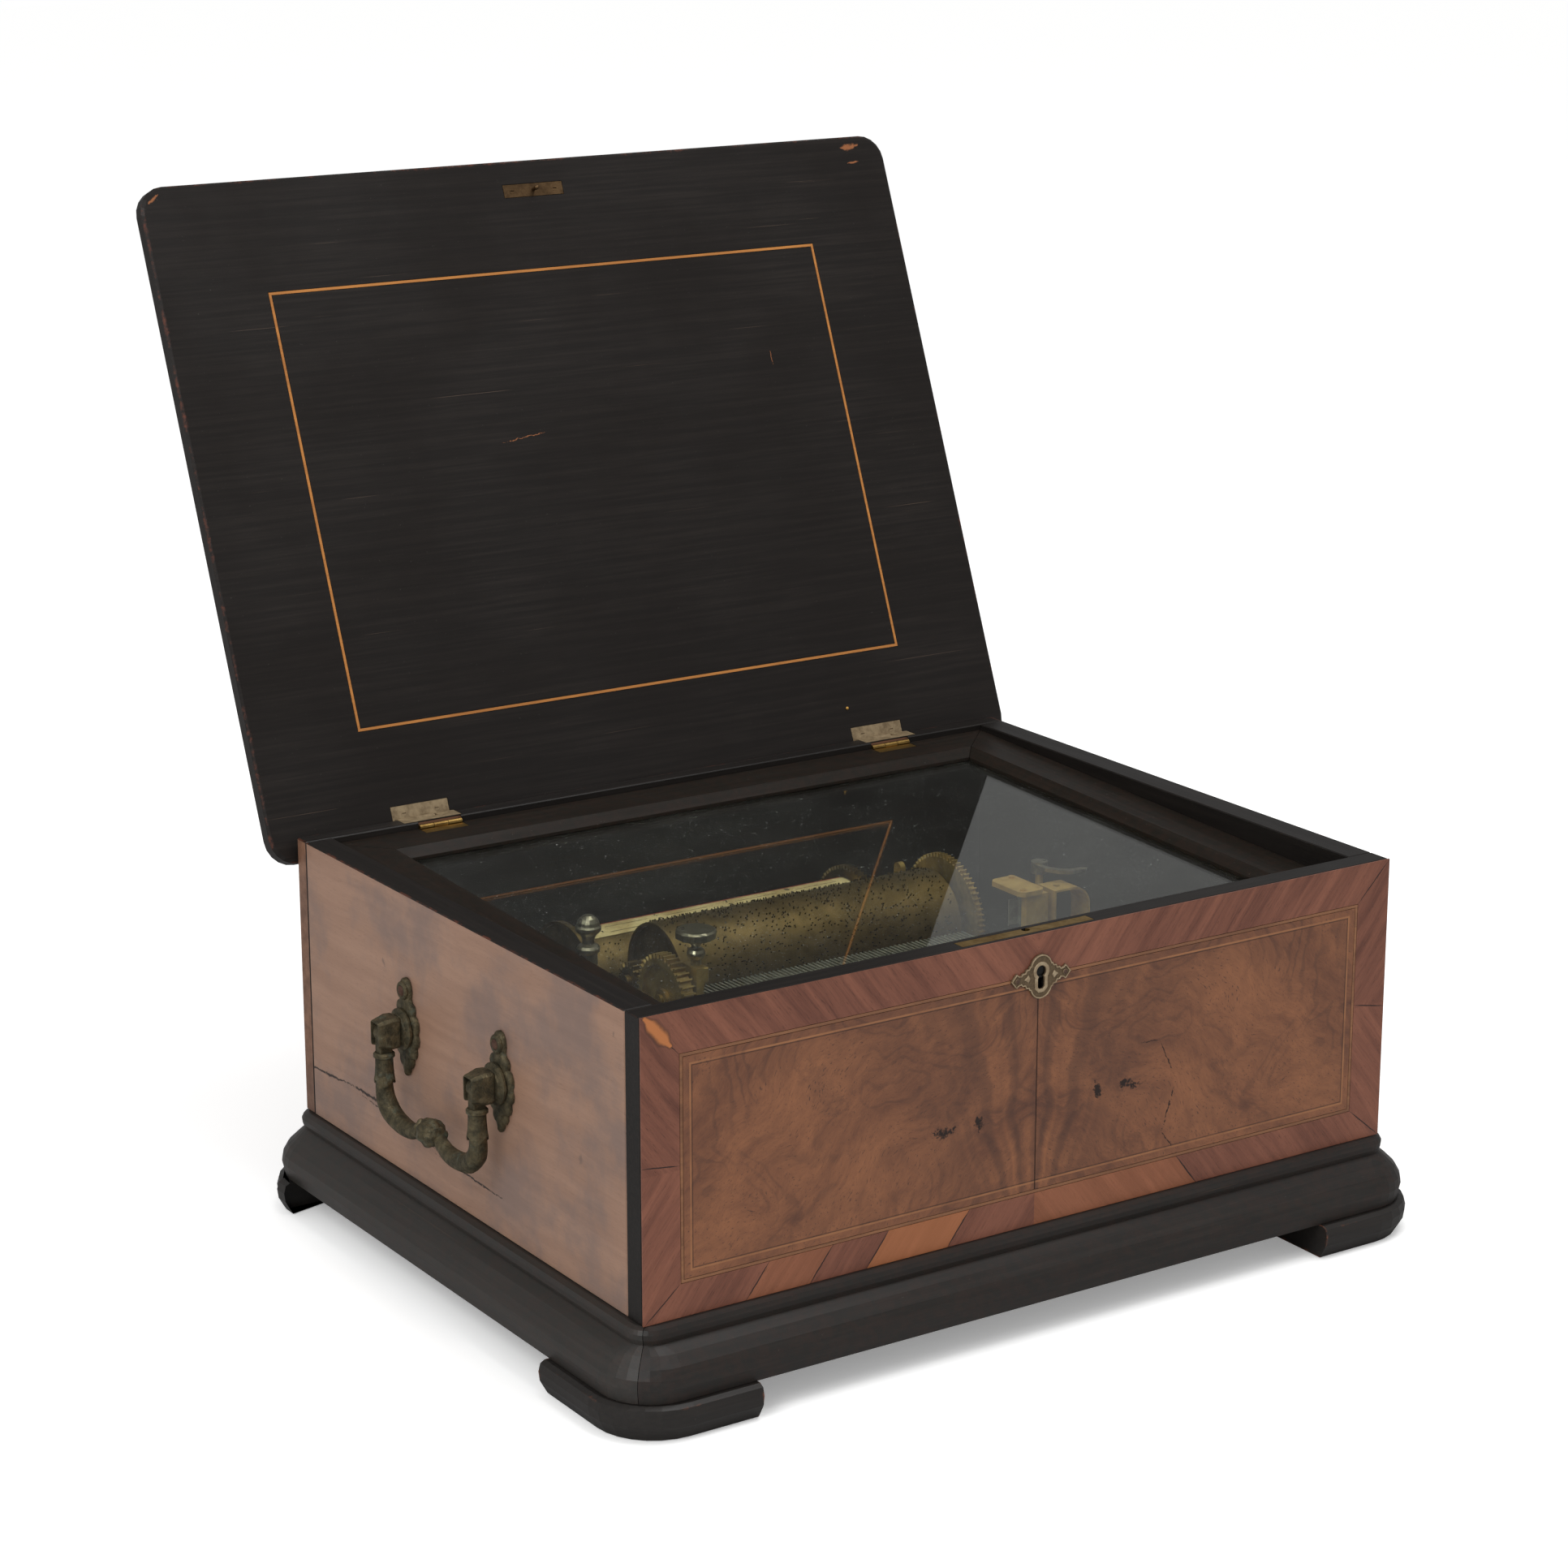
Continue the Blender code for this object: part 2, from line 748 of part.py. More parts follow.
def foot_ring(z, out, front_end, side_end, back):
    radius = out + foot_inset
    cx = half_width - foot_inset
    cy = half_depth - foot_inset
    inner_x = half_width - foot_inner
    inner_y = half_depth - foot_inner
    points = [(-front_end, -half_depth - out)]
    points += arc(-cx, -cy, radius, 270, 180, corner_steps + 3)
    points += [(-half_width - out, -side_end), (-inner_x, -side_end)]
    if not back:
        points += [(-inner_x, -inner_y)]
    else:
        points += [(-inner_x, -(side_end + inner_y) / 2)]
    points += [(-inner_x if back else -inner_x + 0.0001, -inner_y), (-front_end, -inner_y)]
    return [(x, y, z) for x, y in points]


def build_base():
    for side in ("front", "back", "left", "right"):
        rings = [moulding_ring(side, z, out, inset) for z, out, inset in moulding_profile]
        wood("moulding_" + side, layered(rings), (0.07, 0.035, 0.022))
    top = -moulding_height - seat_gap
    front = layered([foot_ring(top - drop, out, front_foot_front_end, front_foot_side_end, False)
                     for drop, out in foot_profile])
    back = layered([foot_ring(top - drop, out, back_foot_back_end, back_foot_side_end, True)
                    for drop, out in foot_profile])
    mirror_x = Matrix.Scale(-1, 4, (1, 0, 0))
    mirror_y = Matrix.Scale(-1, 4, (0, 1, 0))
    wood("foot_front_right", copied(front, mirror_x), (0.07, 0.035, 0.022))
    wood("foot_back_left", copied(back, mirror_y), (0.07, 0.035, 0.022))
    wood("foot_back_right", copied(back, mirror_x @ mirror_y), (0.07, 0.035, 0.022))
    wood("foot_front_left", front, (0.07, 0.035, 0.022))
    bpy.data.objects.remove(back, do_unlink=True)


def rounded_plan(low_x, low_y, high_x, high_y, radius, steps=5):
    points = arc(low_x + radius, low_y + radius, radius, 180, 270, steps)
    points += arc(high_x - radius, low_y + radius, radius, 270, 360, steps)
    points += arc(high_x - radius, high_y - radius, radius, 0, 90, steps)
    points += arc(low_x + radius, high_y - radius, radius, 90, 180, steps)
    return points


# Outer lid, modelled shut and turned to its rest position by its pivot.
def build_lid():
    half = lid_width / 2
    rings = []
    for drop, inset in ((0.0, lid_edge_round * 0.35), (lid_edge_round * 0.35, 0.0),
                        (lid_thickness - lid_edge_round, 0.0),
                        (lid_thickness - lid_edge_round * 0.35, lid_edge_round * 0.35),
                        (lid_thickness, lid_edge_round)):
        plan = rounded_plan(-half + inset, lid_front + inset, half - inset, lid_back - inset,
                            lid_corner_radius)
        rings.append([(x, y, lid_under + drop) for x, y in plan])
    panel = layered(rings)
    crossing = lid_back - lid_string_datum
    cuts = []
    string_y0 = crossing - lid_string_front
    string_y1 = crossing - lid_string_back
    cuts.append(frame_solid((-lid_string_side - seat_gap, string_y0 - seat_gap,
                             lid_string_side + seat_gap, string_y1 + seat_gap),
                            (-lid_string_side + string_width + seat_gap,
                             string_y0 + string_width + seat_gap,
                             lid_string_side - string_width - seat_gap,
                             string_y1 - string_width - seat_gap),
                            "Z", lid_under - lid_string_depth, lid_under + lid_string_depth))
    line = frame_solid((-lid_string_side, string_y0, lid_string_side, string_y1),
                       (-lid_string_side + string_width, string_y0 + string_width,
                        lid_string_side - string_width, string_y1 - string_width),
                       "Z", lid_under, lid_under + lid_string_depth - seat_gap)
    wood("lid_stringing", line, STRING, "lid_axis")
    latch_y = -half_depth + latch_inset
    cuts.append(box((latch_x - catch_width / 2 - seat_gap, latch_y - catch_depth / 2 - seat_gap,
                     lid_under - catch_thickness),
                    (latch_x + catch_width / 2 + seat_gap, latch_y + catch_depth / 2 + seat_gap,
                     lid_under + catch_thickness + seat_gap)))
    leaf_low = lid_under + 0.0001
    for side in (-1, 1):
        x = side * hinge_spacing / 2
        cuts.append(box((x - hinge_width / 2 - seat_gap, lid_axis_y - hinge_leaf_reach - seat_gap,
                         lid_under - 0.001),
                        (x + hinge_width / 2 + seat_gap, lid_axis_y + 0.0013,
                         leaf_low + hinge_leaf_thickness + seat_gap)))
    wood("lid_panel", cut(panel, *cuts), EBONISED, "lid_axis")

    catch = box((latch_x - catch_width / 2, latch_y - catch_depth / 2, lid_under),
                (latch_x + catch_width / 2, latch_y + catch_depth / 2, lid_under + catch_thickness))
    spots = [(latch_x + shift * catch_width * 0.36, latch_y) for shift in (-1, 1)]
    tip = -catch_pin_length
    ball = [(tip + catch_ball_radius * (1 - math.cos(math.radians(a))),
             catch_ball_radius * math.sin(math.radians(a))) for a in (0, 30, 60, 90, 125)]
    ball[0] = (tip, 0.0)
    profile = ball + [(tip + catch_ball_radius * 1.9, catch_pin_radius),
                      (catch_thickness * 0.5, catch_pin_radius), (catch_thickness * 0.5, 0.0)]
    stud = turned(profile, "Z", (latch_x, latch_y, lid_under), 12)
    plate = with_screws(unite(catch, stud), spots, lid_under, -1, screw_radius, screw_proud, screw_slot)
    metal("catch_plate", plate, NICKEL, "lid_axis")
    build_lid_hinges()


def build_lid_hinges():
    third = hinge_width / 3
    for side, name in ((-1, "left"), (1, "right")):
        x = side * hinge_spacing / 2
        left = x - hinge_width / 2
        right = x + hinge_width / 2
        spots = [(x + shift * hinge_screw_spacing / 2, lid_axis_y - hinge_leaf_reach * 0.55)
                 for shift in (-1, 1)]
        top = case_height - 0.0001
        leaf = box((left, lid_axis_y - hinge_leaf_reach, top - hinge_leaf_thickness),
                   (right, lid_axis_y - 0.0006, top))
        gap = box((left + third - seat_gap, lid_axis_y - 0.0046, top - 0.004),
                  (right - third + seat_gap, lid_axis_y + 0.003, top + 0.004))
        leaf = cut(leaf, gap)
        ends = [rod("X", left, left + third - seat_gap, lid_axis_y, lid_axis_z, knuckle_radius, 12),
                rod("X", right - third + seat_gap, right, lid_axis_y, lid_axis_z, knuckle_radius, 12),
                rod("X", left + third * 0.5, right - third * 0.5, lid_axis_y, lid_axis_z,
                    hinge_pin_radius, 12)]
        leaf = with_screws(unite(leaf, *ends), spots, top, 1, screw_radius, screw_proud, screw_slot)
        metal("lid_hinge_case_leaf_" + name, leaf, NICKEL)
        low = lid_under + 0.0001
        leaf = box((left, lid_axis_y - hinge_leaf_reach, low), (right, lid_axis_y + 0.001,
                                                             low + hinge_leaf_thickness))
        web = box((left + third, lid_axis_y - 0.0024, lid_axis_z + 0.0012),
                  (right - third, lid_axis_y + 0.0007, low + hinge_leaf_thickness * 0.9))
        barrel = rod("X", left + third, right - third, lid_axis_y, lid_axis_z, knuckle_radius, 12)
        bore = rod("X", left, right, lid_axis_y, lid_axis_z, hinge_pin_radius + pin_clearance, 12)
        leaf = cut(unite(leaf, web, barrel), bore)
        leaf = with_screws(leaf, spots, low, -1, screw_radius, screw_proud, screw_slot)
        metal("lid_hinge_lid_leaf_" + name, leaf, NICKEL, "lid_axis")


# Glass lid, modelled level; its pivot gives it the fall towards the front.
def glass_section():
    top = glass_axis_z - glass_top_below_axis
    lip = top - glass_lip_fall
    pane_top = lip - glass_lip_thickness
    pane_low = pane_top - glass_thickness
    low = top - glass_rail_thickness
    full = glass_rail_width + glass_lip_run
    bead = glass_rail_width + 0.001
    return [(0.0, low), (0.0, top), (glass_rail_width, top), (full, lip),
            (full, pane_top + seat_gap), (full - glass_groove, pane_top + seat_gap),
            (full - glass_groove, pane_low - seat_gap), (bead + 0.002, pane_low - seat_gap),
            (bead + 0.002, low)]


def mitred_rail(section, length_half, cross):
    rings = []
    for end in (-1, 1):
        rings.append([(end * (length_half - inward), cross + inward, level) for inward, level in section])
    bm = bmesh.new()
    loops = [[bm.verts.new(point) for point in ring] for ring in rings]
    count = len(section)
    for i in range(count):
        j = (i + 1) % count
        bm.faces.new((loops[0][i], loops[0][j], loops[1][j], loops[1][i]))
    bm.faces.new(loops[0])
    bm.faces.new(loops[1])
    return solid(bm)


def build_glass_lid():
    section = glass_section()
    outer_x = side_inner - glass_side_gap
    middle_y = (glass_back - glass_front) / 2
    half_y = (glass_back + glass_front) / 2
    slack = seat_gap * 0.7
    front = mitred_rail(section, outer_x - slack, -half_y)
    side = mitred_rail(section, half_y - slack, -outer_x)
    down = Matrix.Translation((0.0, middle_y, 0.0))
    quarter = Matrix.Rotation(math.radians(-90), 4, "Z")
    back = copied(front, down @ Matrix.Rotation(math.pi, 4, "Z"))
    front.data.transform(down)
    left = copied(side, down @ quarter)
    right = copied(side, down @ quarter.inverted())
    bpy.data.objects.remove(side, do_unlink=True)
    top = glass_axis_z - glass_top_below_axis
    cuts = []
    third = glass_hinge_width / 3
    for end, name in ((-1, "left"), (1, "right")):
        x = end * glass_hinge_spacing / 2
        x0 = x - glass_hinge_width / 2
        x1 = x + glass_hinge_width / 2
        cuts.append(box((x0 - seat_gap, glass_back - glass_leaf_reach, top - glass_leaf_thickness - seat_gap),
                        (x1 + seat_gap, glass_back * 1.1, case_height)))
        cuts.append(box((x0 - seat_gap, glass_axis_y - glass_knuckle_room,
                         glass_axis_z - glass_knuckle_room),
                        (x1 + seat_gap, glass_back * 1.1, case_height)))
        leaf_back = glass_axis_y - glass_knuckle_room
        leaf = box((x0, glass_back - glass_leaf_reach + seat_gap, top - glass_leaf_thickness),
                   (x1, leaf_back, top))
        web = box((x0 + third + seat_gap, leaf_back - glass_leaf_thickness,
                   top - glass_leaf_thickness * 0.9),
                  (x1 - third - seat_gap, glass_axis_y, top - glass_leaf_thickness * 0.1))
        barrel = rod("X", x0 + third, x1 - third, glass_axis_y, glass_axis_z, glass_knuckle_radius, 10)
        bore = rod("X", x0, x1, glass_axis_y, glass_axis_z, glass_pin_radius + pin_clearance, 10)
        metal("glass_hinge_frame_leaf_" + name, cut(unite(leaf, web, barrel), bore), BRASS, "glass_axis")
        notch_floor = glass_axis_z - glass_knuckle_radius - seat_gap
        plates = [box((x0, back_inner + seat_gap, notch_floor),
                      (x0 + third - seat_gap, glass_axis_y + glass_knuckle_radius, glass_axis_z)),
                  box((x1 - third + seat_gap, back_inner + seat_gap, notch_floor),
                      (x1, glass_axis_y + glass_knuckle_radius, glass_axis_z)),
                  rod("X", x0, x0 + third - seat_gap, glass_axis_y, glass_axis_z, glass_knuckle_radius, 10),
                  rod("X", x1 - third + seat_gap, x1, glass_axis_y, glass_axis_z, glass_knuckle_radius, 10)]
        pin = rod("X", x0 + third * 0.5, x1 - third * 0.5, glass_axis_y, glass_axis_z, glass_pin_radius, 10)
        metal("glass_hinge_case_leaf_" + name, unite(pin, *plates))
    wood("glass_rail_back", cut(back, *cuts), EBONISED, "glass_axis")
    wood("glass_rail_front", front, EBONISED, "glass_axis")
    wood("glass_rail_left", left, EBONISED, "glass_axis")
    wood("glass_rail_right", right, EBONISED, "glass_axis")
    pane_top = top - glass_lip_fall - glass_lip_thickness
    inset = glass_rail_width + glass_lip_run - glass_groove + seat_gap
    pane = box((-outer_x + inset, -glass_front + inset, pane_top - glass_thickness),
               (outer_x - inset, glass_back - inset, pane_top))
    add_piece("glass_pane", pane, (0.8, 0.85, 0.84), 0.0, 0.03, "glass_axis", alpha=0.35)


# Handles, built for the left side and mirrored for the right.
def plate_outline():
    points = []
    for i in range(plate_points):
        angle = math.tau * i / plate_points
        across = math.cos(angle)
        up = math.sin(angle)
        if up >= 0:
            radius = 0.0125 - 0.004 * up ** 3 + 0.0018 * abs(math.sin(3 * angle))
            points.append((radius * across, radius * up + 0.014 * up ** 6))
        else:
            depth = -up
            points.append((0.0130 * across * (1 - 0.35 * depth ** 2),
                           -0.032 * depth ** 1.6 - 0.002 * depth))
    return points


def build_handles():
    wall = -half_width - seat_gap
    mirror = Matrix.Scale(-1, 4, (1, 0, 0))
    for side, end in ((-1, "front"), (1, "back")):
        y = handle_y + side * boss_spacing / 2
        outline = [(y + u, handle_z + v) for u, v in plate_outline()]
        plate = prism(outline, "X", wall - plate_thickness, wall)
        ring = turned([(wall - plate_thickness, 0.0), (wall - plate_thickness, 0.0062),
                       (wall - plate_thickness * 0.5, 0.0082), (wall, 0.0082), (wall, 0.0)],
                      "X", (0.0, y, handle_z + 0.0185), 12)
        hole = rod("X", wall * 1.1, wall * 0.9, y, handle_z + 0.0190, 0.0036, 16)
        knobs = [turned([(wall - 0.0052, 0.0), (wall - 0.0046, 0.0020), (wall - 0.0026, 0.0030),
                         (wall - 0.0008, 0.0022), (wall, 0.0016), (wall, 0.0)],
                        "X", (0.0, y + shift * 0.0128, handle_z + 0.0065), 6) for shift in (-1, 1)]
        collar_out = wall - plate_thickness - collar_depth
        collar = turned([(wall - 0.001, 0.0), (wall - 0.001, collar_radius),
                         (collar_out + 0.0012, collar_radius), (collar_out, collar_radius - 0.0015),
                         (collar_out, 0.0)], "X", (0.0, y, handle_z), 12)
        boss = box((-half_width - boss_out, y - boss_width / 2, handle_z - boss_height / 2),
                   (collar_out + 0.001, y + boss_width / 2, handle_z + boss_height / 2), 0.0016)
        pocket = box((-half_width - boss_out - 0.01, y - pocket_width / 2, handle_z - boss_height),
                     (-half_width - boss_out + pocket_depth, y + pocket_width / 2,
                      handle_z + pocket_height / 2))
        body = unite(plate, ring, collar, boss, *knobs)
        body = cut(body, pocket, hole)
        pin = rod("Y", y - boss_width * 0.4, y + boss_width * 0.4, -half_width - pivot_out, handle_z,
                  bail_pin_radius, 16)
        body = unite(body, pin)
        metal("handle_plate_right_" + end, copied(body, mirror), BRONZE, roughness=0.5)
        metal("handle_plate_left_" + end, body, BRONZE, roughness=0.5)
    bail = build_bail()
    twin = copied(bail, mirror)
    metal("bail_left", bail, BRONZE, "bail_left_axis", roughness=0.5)
    metal("bail_right", twin, BRONZE, "bail_right_axis", roughness=0.5)


def build_bail():
    x = -half_width - pivot_out
    reach = boss_spacing / 2
    stops = [(1.0, 0.026), (1.0, 0.036), (0.86, 0.0445), (0.60, 0.0482), (0.31, 0.0478), (0.14, 0.0440)]
    path = [(reach * across, drop) for across, drop in stops]
    path += [(0.0, bail_knop_drop)]
    path += [(-u, v) for u, v in reversed(path[:-1])]
    curve = bpy.data.curves.new("bail_path", "CURVE")
    curve.dimensions = "3D"
    curve.bevel_depth = bail_rod_radius
    curve.bevel_resolution = 1
    curve.resolution_u = 2
    curve.use_fill_caps = True
    spline = curve.splines.new("BEZIER")
    spline.bezier_points.add(len(path) - 1)
    for point, (u, v) in zip(spline.bezier_points, path):
        point.co = (x, handle_y + u, handle_z - v)
        point.handle_left_type = "AUTO"
        point.handle_right_type = "AUTO"
    holder = bpy.data.objects.new("bail_path", curve)
    bpy.context.scene.collection.objects.link(holder)
    mesh = bpy.data.meshes.new_from_object(holder.evaluated_get(bpy.context.evaluated_depsgraph_get()))
    bpy.data.objects.remove(holder, do_unlink=True)
    bm = bmesh.new()
    bm.from_mesh(mesh)
    bmesh.ops.remove_doubles(bm, verts=bm.verts[:], dist=0.000005)
    bpy.data.meshes.remove(mesh)
    rail = solid(bm)
    parts = []
    cuts = []
    for side in (-1, 1):
        y = handle_y + side * reach
        top = handle_z - sleeve_top_drop
        low = handle_z - sleeve_bottom_drop
        parts.append(turned([(top, 0.0), (top, sleeve_radius - 0.0012), (top - 0.0012, sleeve_radius),
                             (low + 0.0030, sleeve_radius), (low + 0.0022, sleeve_radius + 0.0010),
                             (low, sleeve_radius + 0.0010), (low - 0.0012, sleeve_radius - 0.0010),
                             (low - 0.0012, 0.0)], "Z", (x, y, 0.0), 10))
        parts.append(rod("Y", y - tongue_width / 2, y + tongue_width / 2, x, handle_z,
                         tongue_eye_radius, 16))
        parts.append(box((x - tongue_eye_radius * 0.8, y - tongue_width * 0.48, top - 0.003),
                         (x + tongue_eye_radius * 0.8, y + tongue_width * 0.48, handle_z)))
        cuts.append(rod("Y", y - boss_width, y + boss_width, x, handle_z,
                        bail_pin_radius + pin_clearance, 16))
    radius = bail_knop_radius
    knop = turned([(-0.012, 0.0), (-0.0112, 0.0048), (-0.0088, 0.0056), (-0.0072, 0.0044),
                   (-0.0048, radius * 0.9), (-0.0018, radius), (0.0018, radius), (0.0048, radius * 0.9),
                   (0.0072, 0.0044), (0.0088, 0.0056), (0.0112, 0.0048), (0.012, 0.0)],
                  "Y", (x, handle_y, handle_z - bail_knop_drop), 10)
    return cut(unite(rail, knop, *parts), *cuts)


def cylinder_body(left, right, disc):
    hub = arbor_radius
    inner = cylinder_radius - cylinder_rim
    profile = [(left + cylinder_recess, hub), (left + cylinder_recess, inner), (left, inner),
               (left, cylinder_radius), (right, cylinder_radius), (right, inner),
               (right - cylinder_recess, inner), (right - cylinder_recess, hub)]
    if disc:
        flange = left - spare_disc_thickness
        rim = spare_disc_radius - cylinder_rim
        profile = [(flange + cylinder_recess * 0.6, hub), (flange + cylinder_recess * 0.6, rim),
                   (flange, rim), (flange, spare_disc_radius), (left, spare_disc_radius),
                   (left, cylinder_radius), (right, cylinder_radius), (right, hub)]
    return profile


def music_pins(count, left, right, y, z, blocked):
    bm = bmesh.new()
    flat = cylinder_radius * math.cos(math.pi / cylinder_steps)
    placed = 0
    index = 0
    while placed < count:
        index += 1
        turn = (index * golden_turn) % 360.0
        facet = (math.floor(turn / 360.0 * cylinder_steps) + 0.5) / cylinder_steps * 360.0
        share = (index * golden_step) % 1.0
        if blocked and blocked[0] < facet < blocked[1]:
            continue
        x = left + 0.004 + share * (right - left - 0.008)
        angle = math.radians(facet)
        spot = Matrix.Translation((x, y, z)) @ Matrix.Rotation(angle, 4, "X")
        spot = spot @ Matrix.Translation((0.0, flat + music_pin_height * 0.35, 0.0))
        spot = spot @ Matrix.Rotation(math.radians(90), 4, "X")
        bmesh.ops.create_cone(bm, cap_ends=True, segments=4, radius1=music_pin_radius,
                              radius2=music_pin_radius, depth=music_pin_height * 1.3, matrix=spot)
        placed += 1
    return solid(bm)


def build_cylinders():
    profile = cylinder_body(cylinder_left, cylinder_right, False)
    arbor_left = drive_right_x - drive_face - 0.003
    arbor_right = great_wheel_x + great_wheel_face / 2 + 0.006
    whole = [(arbor_left, 0.0), (arbor_left, arbor_radius)] + profile
    whole += [(arbor_right, arbor_radius), (arbor_right, 0.0)]
    body = turned(whole, "X", (0.0, axis_y, axis_z), cylinder_steps)
    body = unite(body, music_pins(music_pin_count, cylinder_left, cylinder_right, axis_y, axis_z, None))
    pinion_pitch = drive_module * pinion_teeth / 2
    phase = math.atan2(drive_z - axis_z, drive_y - axis_y)
    outline = gear_outline(pinion_teeth, pinion_pitch - drive_module * 1.2, pinion_pitch + drive_module * 0.95,
                           phase, axis_y, axis_z)
    pinion = prism(outline, "X", drive_right_x - drive_face, drive_right_x)
    metal("cylinder", unite(body, pinion), BRASS, "cylinder_axis")

    radius = train_module * great_wheel_teeth / 2
    phase = math.radians(180.0 + governor_angle) + math.pi / great_wheel_teeth
    wheel = prism(gear_outline(great_wheel_teeth, radius - train_module * 1.2, radius + train_module,
                               phase, axis_y, axis_z), "X",
                  great_wheel_x - great_wheel_face / 2, great_wheel_x + great_wheel_face / 2)
    bore = rod("X", great_wheel_x - 0.01, great_wheel_x + 0.01, axis_y, axis_z,
               arbor_radius + pin_clearance, 32)
    metal("great_wheel", cut(wheel, bore), BRASS, "cylinder_axis")

    body_left = spare_left + spare_disc_thickness
    body_right = spare_right - spare_wheel_face
    profile = [(spare_arbor_left, 0.0), (spare_arbor_left, arbor_radius)]
    profile += cylinder_body(body_left, body_right, True)
    profile += [(spare_arbor_right, arbor_radius), (spare_arbor_right, 0.0)]
    spare = turned(profile, "X", (0.0, spare_y, spare_z), cylinder_steps)
    low = 90.0 - strip_front_angle - 6
    high = 90.0 - strip_back_angle + 6
    mirrored = (180.0 - high, 180.0 - low)
    spare = unite(spare, music_pins(spare_pin_count, body_left, body_right, spare_y, spare_z, mirrored))
    wheel = prism(gear_outline(great_wheel_teeth, radius - train_module * 1.2, radius + train_module,
                               0.0, spare_y, spare_z), "X", body_right - 0.0005, spare_right)
    metal("spare_cylinder", unite(spare, wheel))

    inner = cylinder_radius + seat_gap
    outer = inner + strip_thickness
    start = 90.0 + strip_front_angle
    end = 90.0 + strip_back_angle
    points = arc(spare_y, spare_z, inner, start, end, 8)
    points += arc(spare_y, spare_z, outer, end, start, 8)
    add_piece("tune_strip", prism(points, "X", strip_left, strip_right), (0.78, 0.70, 0.55), 0.0, 0.8)
    build_cradle()


# Two end plates with open seats for the arbor, joined along the bed.
def build_cradle():
    low = bed_top + seat_gap
    seat_radius = arbor_radius + seat_gap
    tie = box((spare_arbor_left + cradle_end * 1.5, spare_y - cradle_tie_half, low),
              (spare_arbor_right - cradle_end * 1.5, spare_y + cradle_tie_half, low + cradle_tie_thickness))
    ends = []
    for x0, x1 in ((spare_arbor_left + cradle_end, spare_left - cradle_gap),
                   (spare_right + cradle_gap, spare_arbor_right - cradle_end)):
        top = spare_z + cradle_head_rise
        body = prism([(spare_y - cradle_foot_half, low), (spare_y + cradle_foot_half, low),
                      (spare_y + cradle_head_half, top), (spare_y - cradle_head_half, top)], "X", x0, x1)
        seat = rod("X", x0 - cut_reach, x1 + cut_reach, spare_y, spare_z, seat_radius, 24)
        mouth = box((x0 - cut_reach, spare_y - seat_radius, spare_z),
                    (x1 + cut_reach, spare_y + seat_radius, top + cut_reach))
        ends.append(cut(body, seat, mouth))
    metal("spare_cradle", unite(tie, *ends), BRASS)


def comb_reach():
    tips = axis_y - cylinder_radius - comb_tip_gap
    roots = tips - comb_tooth_length
    return tips, roots, roots - comb_plate_depth


# The bedplate casting with its feet and the pedestal of the comb.
def build_bed():
    roots, rear = comb_reach()[1:]
    bed = box((bed_left, bed_front, bed_low), (bed_right, bed_back, bed_top), 0.0008)
    extras = []
    for x in (bed_left + bed_foot_width, bed_right - bed_foot_width):
        extras.append(box((x - bed_foot_width / 2, bed_front + 0.004, bottom_thickness + seat_gap),
                          (x + bed_foot_width / 2, bed_back - 0.004, bed_low + 0.001)))
    left, right = comb_ends()
    under = axis_z - comb_thickness / 2 - seat_gap
    extras.append(box((left, rear - 0.004, under - comb_base_height), (right, roots - 0.002, under)))
    extras.append(box((left, rear - 0.004, bed_low + 0.001), (right, rear + 0.008, under - 0.004)))
    spots = [(x, y) for x in (bed_left + 0.012, bed_right - 0.012)
             for y in (bed_front + 0.012, bed_back - 0.010)]
    bed = with_screws(unite(bed, *extras), spots, bed_top, 1, bed_screw_radius, bed_screw_proud, 0.001)
    metal("bedplate", bed, BRASS)


def comb_ends():
    middle = (cylinder_left + cylinder_right) / 2
    half = comb_pitch * comb_teeth / 2
    return middle - half, middle + half


def build_comb():
    tips, roots, rear = comb_reach()
    left, right = comb_ends()
    outline = [(left, rear), (right, rear)]
    for i in reversed(range(comb_teeth)):
        x = left + comb_pitch * (i + 0.5)
        outline += [(x + comb_root_width / 2, roots), (x + comb_tip_width / 2, tips),
                    (x - comb_tip_width / 2, tips), (x - comb_root_width / 2, roots)]
    top = axis_z + comb_thickness / 2
    plate = prism(outline, "Z", top - comb_thickness, top)
    spots = [(left + (right - left) * (i + 0.5) / comb_screw_count, rear + comb_plate_depth * 0.5)
             for i in range(comb_screw_count)]
    plate = with_screws(plate, spots, top, 1, bed_screw_radius, bed_screw_proud, 0.001)
    metal("comb", plate, STEEL)


def drive_distance(first, second):
    return drive_module * (first + second) / 2 + train_backlash


def barrel_axis():
    gap = drive_distance(drive_teeth, barrel_teeth)
    across = barrel_y - drive_y
    return drive_z - math.sqrt(gap * gap - across * across)


